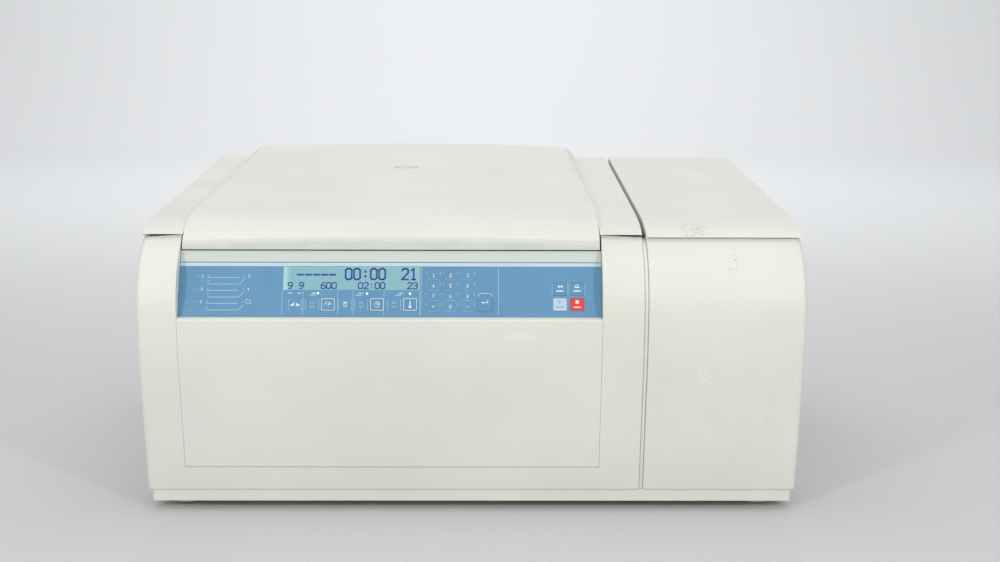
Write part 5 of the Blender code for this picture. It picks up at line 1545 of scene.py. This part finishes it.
class CENTRIFUGE_OT_rotor(bpy.types.Operator):
    """Model the swing-out rotor, its lock button and its four buckets"""
    bl_idname = "centrifuge.rotor"
    bl_label = "Rotor"

    def execute(self, context):
        yoke_low, yoke_high, pivot = 0.2010, 0.2290, 0.215
        arm = [(0.030, 0.014), (0.080, 0.014), (0.106, 0.031), (0.124, 0.031), (0.131, 0.022)]
        outline = []
        for index in range(4):
            turn = radians(45 + 90 * index)
            for along, across in [(a, -b) for a, b in arm] + [(a, b) for a, b in arm[::-1]]:
                outline.append((ROTOR.x + along * cos(turn) - across * sin(turn),
                                ROTOR.y + along * sin(turn) + across * cos(turn)))
        yoke = pull("swing_rotor", rounded(outline, 0.005, 3, True), "Z", yoke_low, yoke_high)
        round_all(yoke, 0.0012, 3, 60)
        hub = spin("hub", [(0, 0.192), (0.0350, 0.192), (0.036, 0.193), (0.036, 0.233), (0.035, 0.235),
                           (0.028, 0.2415), (0.027, 0.242), (0, 0.242)], ROTOR, steps=96)
        weld(yoke, hub)
        for index in range(4):
            angle = radians(90 * index)
            along, across = Vector((cos(angle), sin(angle), 0)), Vector((-sin(angle), cos(angle), 0))
            axis = "Y" if index % 2 == 0 else "X"
            outward_sign = 1 if index in (0, 3) else -1
            for sign in (-1, 1):
                pin = ROTOR + along * BUCKET_REACH + across * sign * 0.049
                pin.z = pivot
                ends = (-0.0075, 0.0090) if sign * outward_sign > 0 else (-0.0090, 0.0075)
                weld(yoke, drum("trunnion", 0.005, pin, axis, *ends, 32))
        taper = [(0, 0.18), (0.0130, 0.18), (0.0130, 0.190), (0.0089, 0.2225), (0, 0.2225)]
        carve(yoke, spin("cutter", taper, ROTOR, steps=48),
              drum("cutter", 0.0130, ROTOR, "Z", 0.2320, 0.26, 48))
        done(yoke, "rotor", "aluminium", FINISHES["rotor"], "rotor_yoke")
        button = [(0, 0.2365), (0.0125, 0.2365), (0.0125, 0.2485), (0.0180, 0.2500), (0.0190, 0.2512),
                  (0.0190, 0.2575), (0.0183, 0.2592), (0.0165, 0.2612), (0.0150, 0.2620), (0.0095, 0.2620),
                  (0.0080, 0.2612), (0, 0.2610)]
        knob = spin("rotor_lock", button, ROTOR, steps=64)
        grooves = []
        for index in range(18):
            angle = radians(20 * index)
            spot = ROTOR + Vector((cos(angle), sin(angle), 0)) * 0.0197
            grooves.append(drum("cutter", 0.0012, spot, "Z", 0.2495, 0.2600, 12))
        carve(knob, gather("cutter", grooves))
        done(knob, "lock_button", "lock_button", FINISHES["lock"], "rotor_lock_button")
        self.buckets(pivot)
        return {"FINISHED"}

    def buckets(self, pivot):
        radius, wall, top, bottom = BUCKET_RADIUS, 0.0025, 0.020, -0.085
        corner = arc((radius - 0.008, bottom + 0.008), 0.008, -90, 0, 6)
        outside = [(0, bottom), (radius - 0.008, bottom)] + corner
        rim = [(radius, top - 0.0006), (radius - 0.0006, top), (radius - wall + 0.0005, top),
               (radius - wall, top - 0.0005)]
        hollow = arc((radius - 0.010, bottom + 0.0115), 0.0075, 0, -90, 6)
        inside = [(radius - wall, bottom + 0.010)] + hollow
        cup = spin("cup", outside + rim + inside + [(0, bottom + 0.004)], (0, 0, 0), steps=96)
        lug = rounded([(-0.011, -0.010), (-0.0056, -0.010), (-0.0056, 0.0), (-0.0040, 0.0040),
                       (0.0, 0.0056), (0.0040, 0.0040), (0.0056, 0.0), (0.0056, -0.010), (0.011, -0.010),
                       (0.011, 0.008), (0.007, 0.014), (-0.007, 0.014), (-0.011, 0.008)], 0.0012, 2, True)
        for sign in (-1, 1):
            ends = sorted((sign * (radius - 0.0015), sign * (radius + 0.008)))
            ear = pull("ear", lug, "Y", *ends)
            round_all(ear, 0.0005, 2, 50)
            weld(cup, ear)
        for index, name in enumerate(("right", "rear", "left", "front")):
            angle = radians(90 * index)
            centre = ROTOR + Vector((cos(angle), sin(angle), 0)) * BUCKET_REACH
            centre.z = pivot
            bucket = stamp(cup, Matrix.Translation(centre) @ Matrix.Rotation(angle, 4, "Z"))
            bucket.name = bucket.data.name = "swing_bucket_" + name
            done(bucket, "swing_" + name, "aluminium", bucket_finish(name, centre), "bucket_" + name)
        bpy.data.objects.remove(cup)


def bucket_finish(name, centre):
    """Machined aluminium with turning rings round the bucket's own axis."""
    return metal_finish("machined_bucket_" + name, (0.60, 0.61, 0.63), 0.24, rings=centre, ring_scale=900.0)


class CENTRIFUGE_OT_carried(bpy.types.Operator):
    """Give the carried-over frame pieces their finishes"""
    bl_idname = "centrifuge.carried"
    bl_label = "Carried-over pieces"

    def execute(self, context):
        finishes = {
            "steel": ["lid_striker_left", "lid_striker_right", "hinge_bracket_left", "hinge_bracket_right",
                      "hinge_leaf_left", "hinge_leaf_right", "latch_bar", "motor_mount"],
            "chrome": ["gas_spring_rod_left", "gas_spring_rod_right", "motor_shaft"],
            "guard": ["armour_ring"],
            "black_paint": ["gas_spring_cylinder_left", "gas_spring_cylinder_right", "compressor"],
            "motor": ["drive_motor"],
            "fins": ["condenser"],
            "black": ["latch_drive", "condenser_fan"],
        }
        for finish, nodes in finishes.items():
            for node in nodes:
                carry(node, FINISHES[finish])
        return {"FINISHED"}


# ---- add-on -----------------------------------------------------------------------------
OPERATORS = (CENTRIFUGE_OT_stage, CENTRIFUGE_OT_front_covers, CENTRIFUGE_OT_service_panel,
             CENTRIFUGE_OT_top_covers, CENTRIFUGE_OT_lid, CENTRIFUGE_OT_console, CENTRIFUGE_OT_display,
             CENTRIFUGE_OT_keys, CENTRIFUGE_OT_keypad_print, CENTRIFUGE_OT_base, CENTRIFUGE_OT_panels,
             CENTRIFUGE_OT_fittings, CENTRIFUGE_OT_chamber, CENTRIFUGE_OT_rotor, CENTRIFUGE_OT_carried)


class CENTRIFUGE_PT_sidebar(bpy.types.Panel):
    """Lists the settings and the operators in the order they are run"""
    bl_idname = "CENTRIFUGE_PT_sidebar"
    bl_label = "Centrifuge"
    bl_space_type = "VIEW_3D"
    bl_region_type = "UI"
    bl_category = "Centrifuge"

    def draw(self, context):
        layout = self.layout
        for group in (context.scene.centrifuge_sizes, context.scene.centrifuge_colours):
            box = layout.box()
            for name in group.__annotations__:
                box.prop(group, name)
        for operator in OPERATORS:
            layout.operator(operator.bl_idname)


CLASSES = (CentrifugeSizes, CentrifugeColours, *OPERATORS, CENTRIFUGE_PT_sidebar)


def register():
    for cls in CLASSES:
        bpy.utils.register_class(cls)
    bpy.types.Scene.centrifuge_sizes = bpy.props.PointerProperty(type=CentrifugeSizes)
    bpy.types.Scene.centrifuge_colours = bpy.props.PointerProperty(type=CentrifugeColours)


def unregister():
    del bpy.types.Scene.centrifuge_colours
    del bpy.types.Scene.centrifuge_sizes
    for cls in reversed(CLASSES):
        bpy.utils.unregister_class(cls)


def main():
    register()
    make_finishes()
    for operator in OPERATORS:
        group, name = operator.bl_idname.split(".")
        getattr(getattr(bpy.ops, group), name)()


if __name__ == "__main__":
    main()
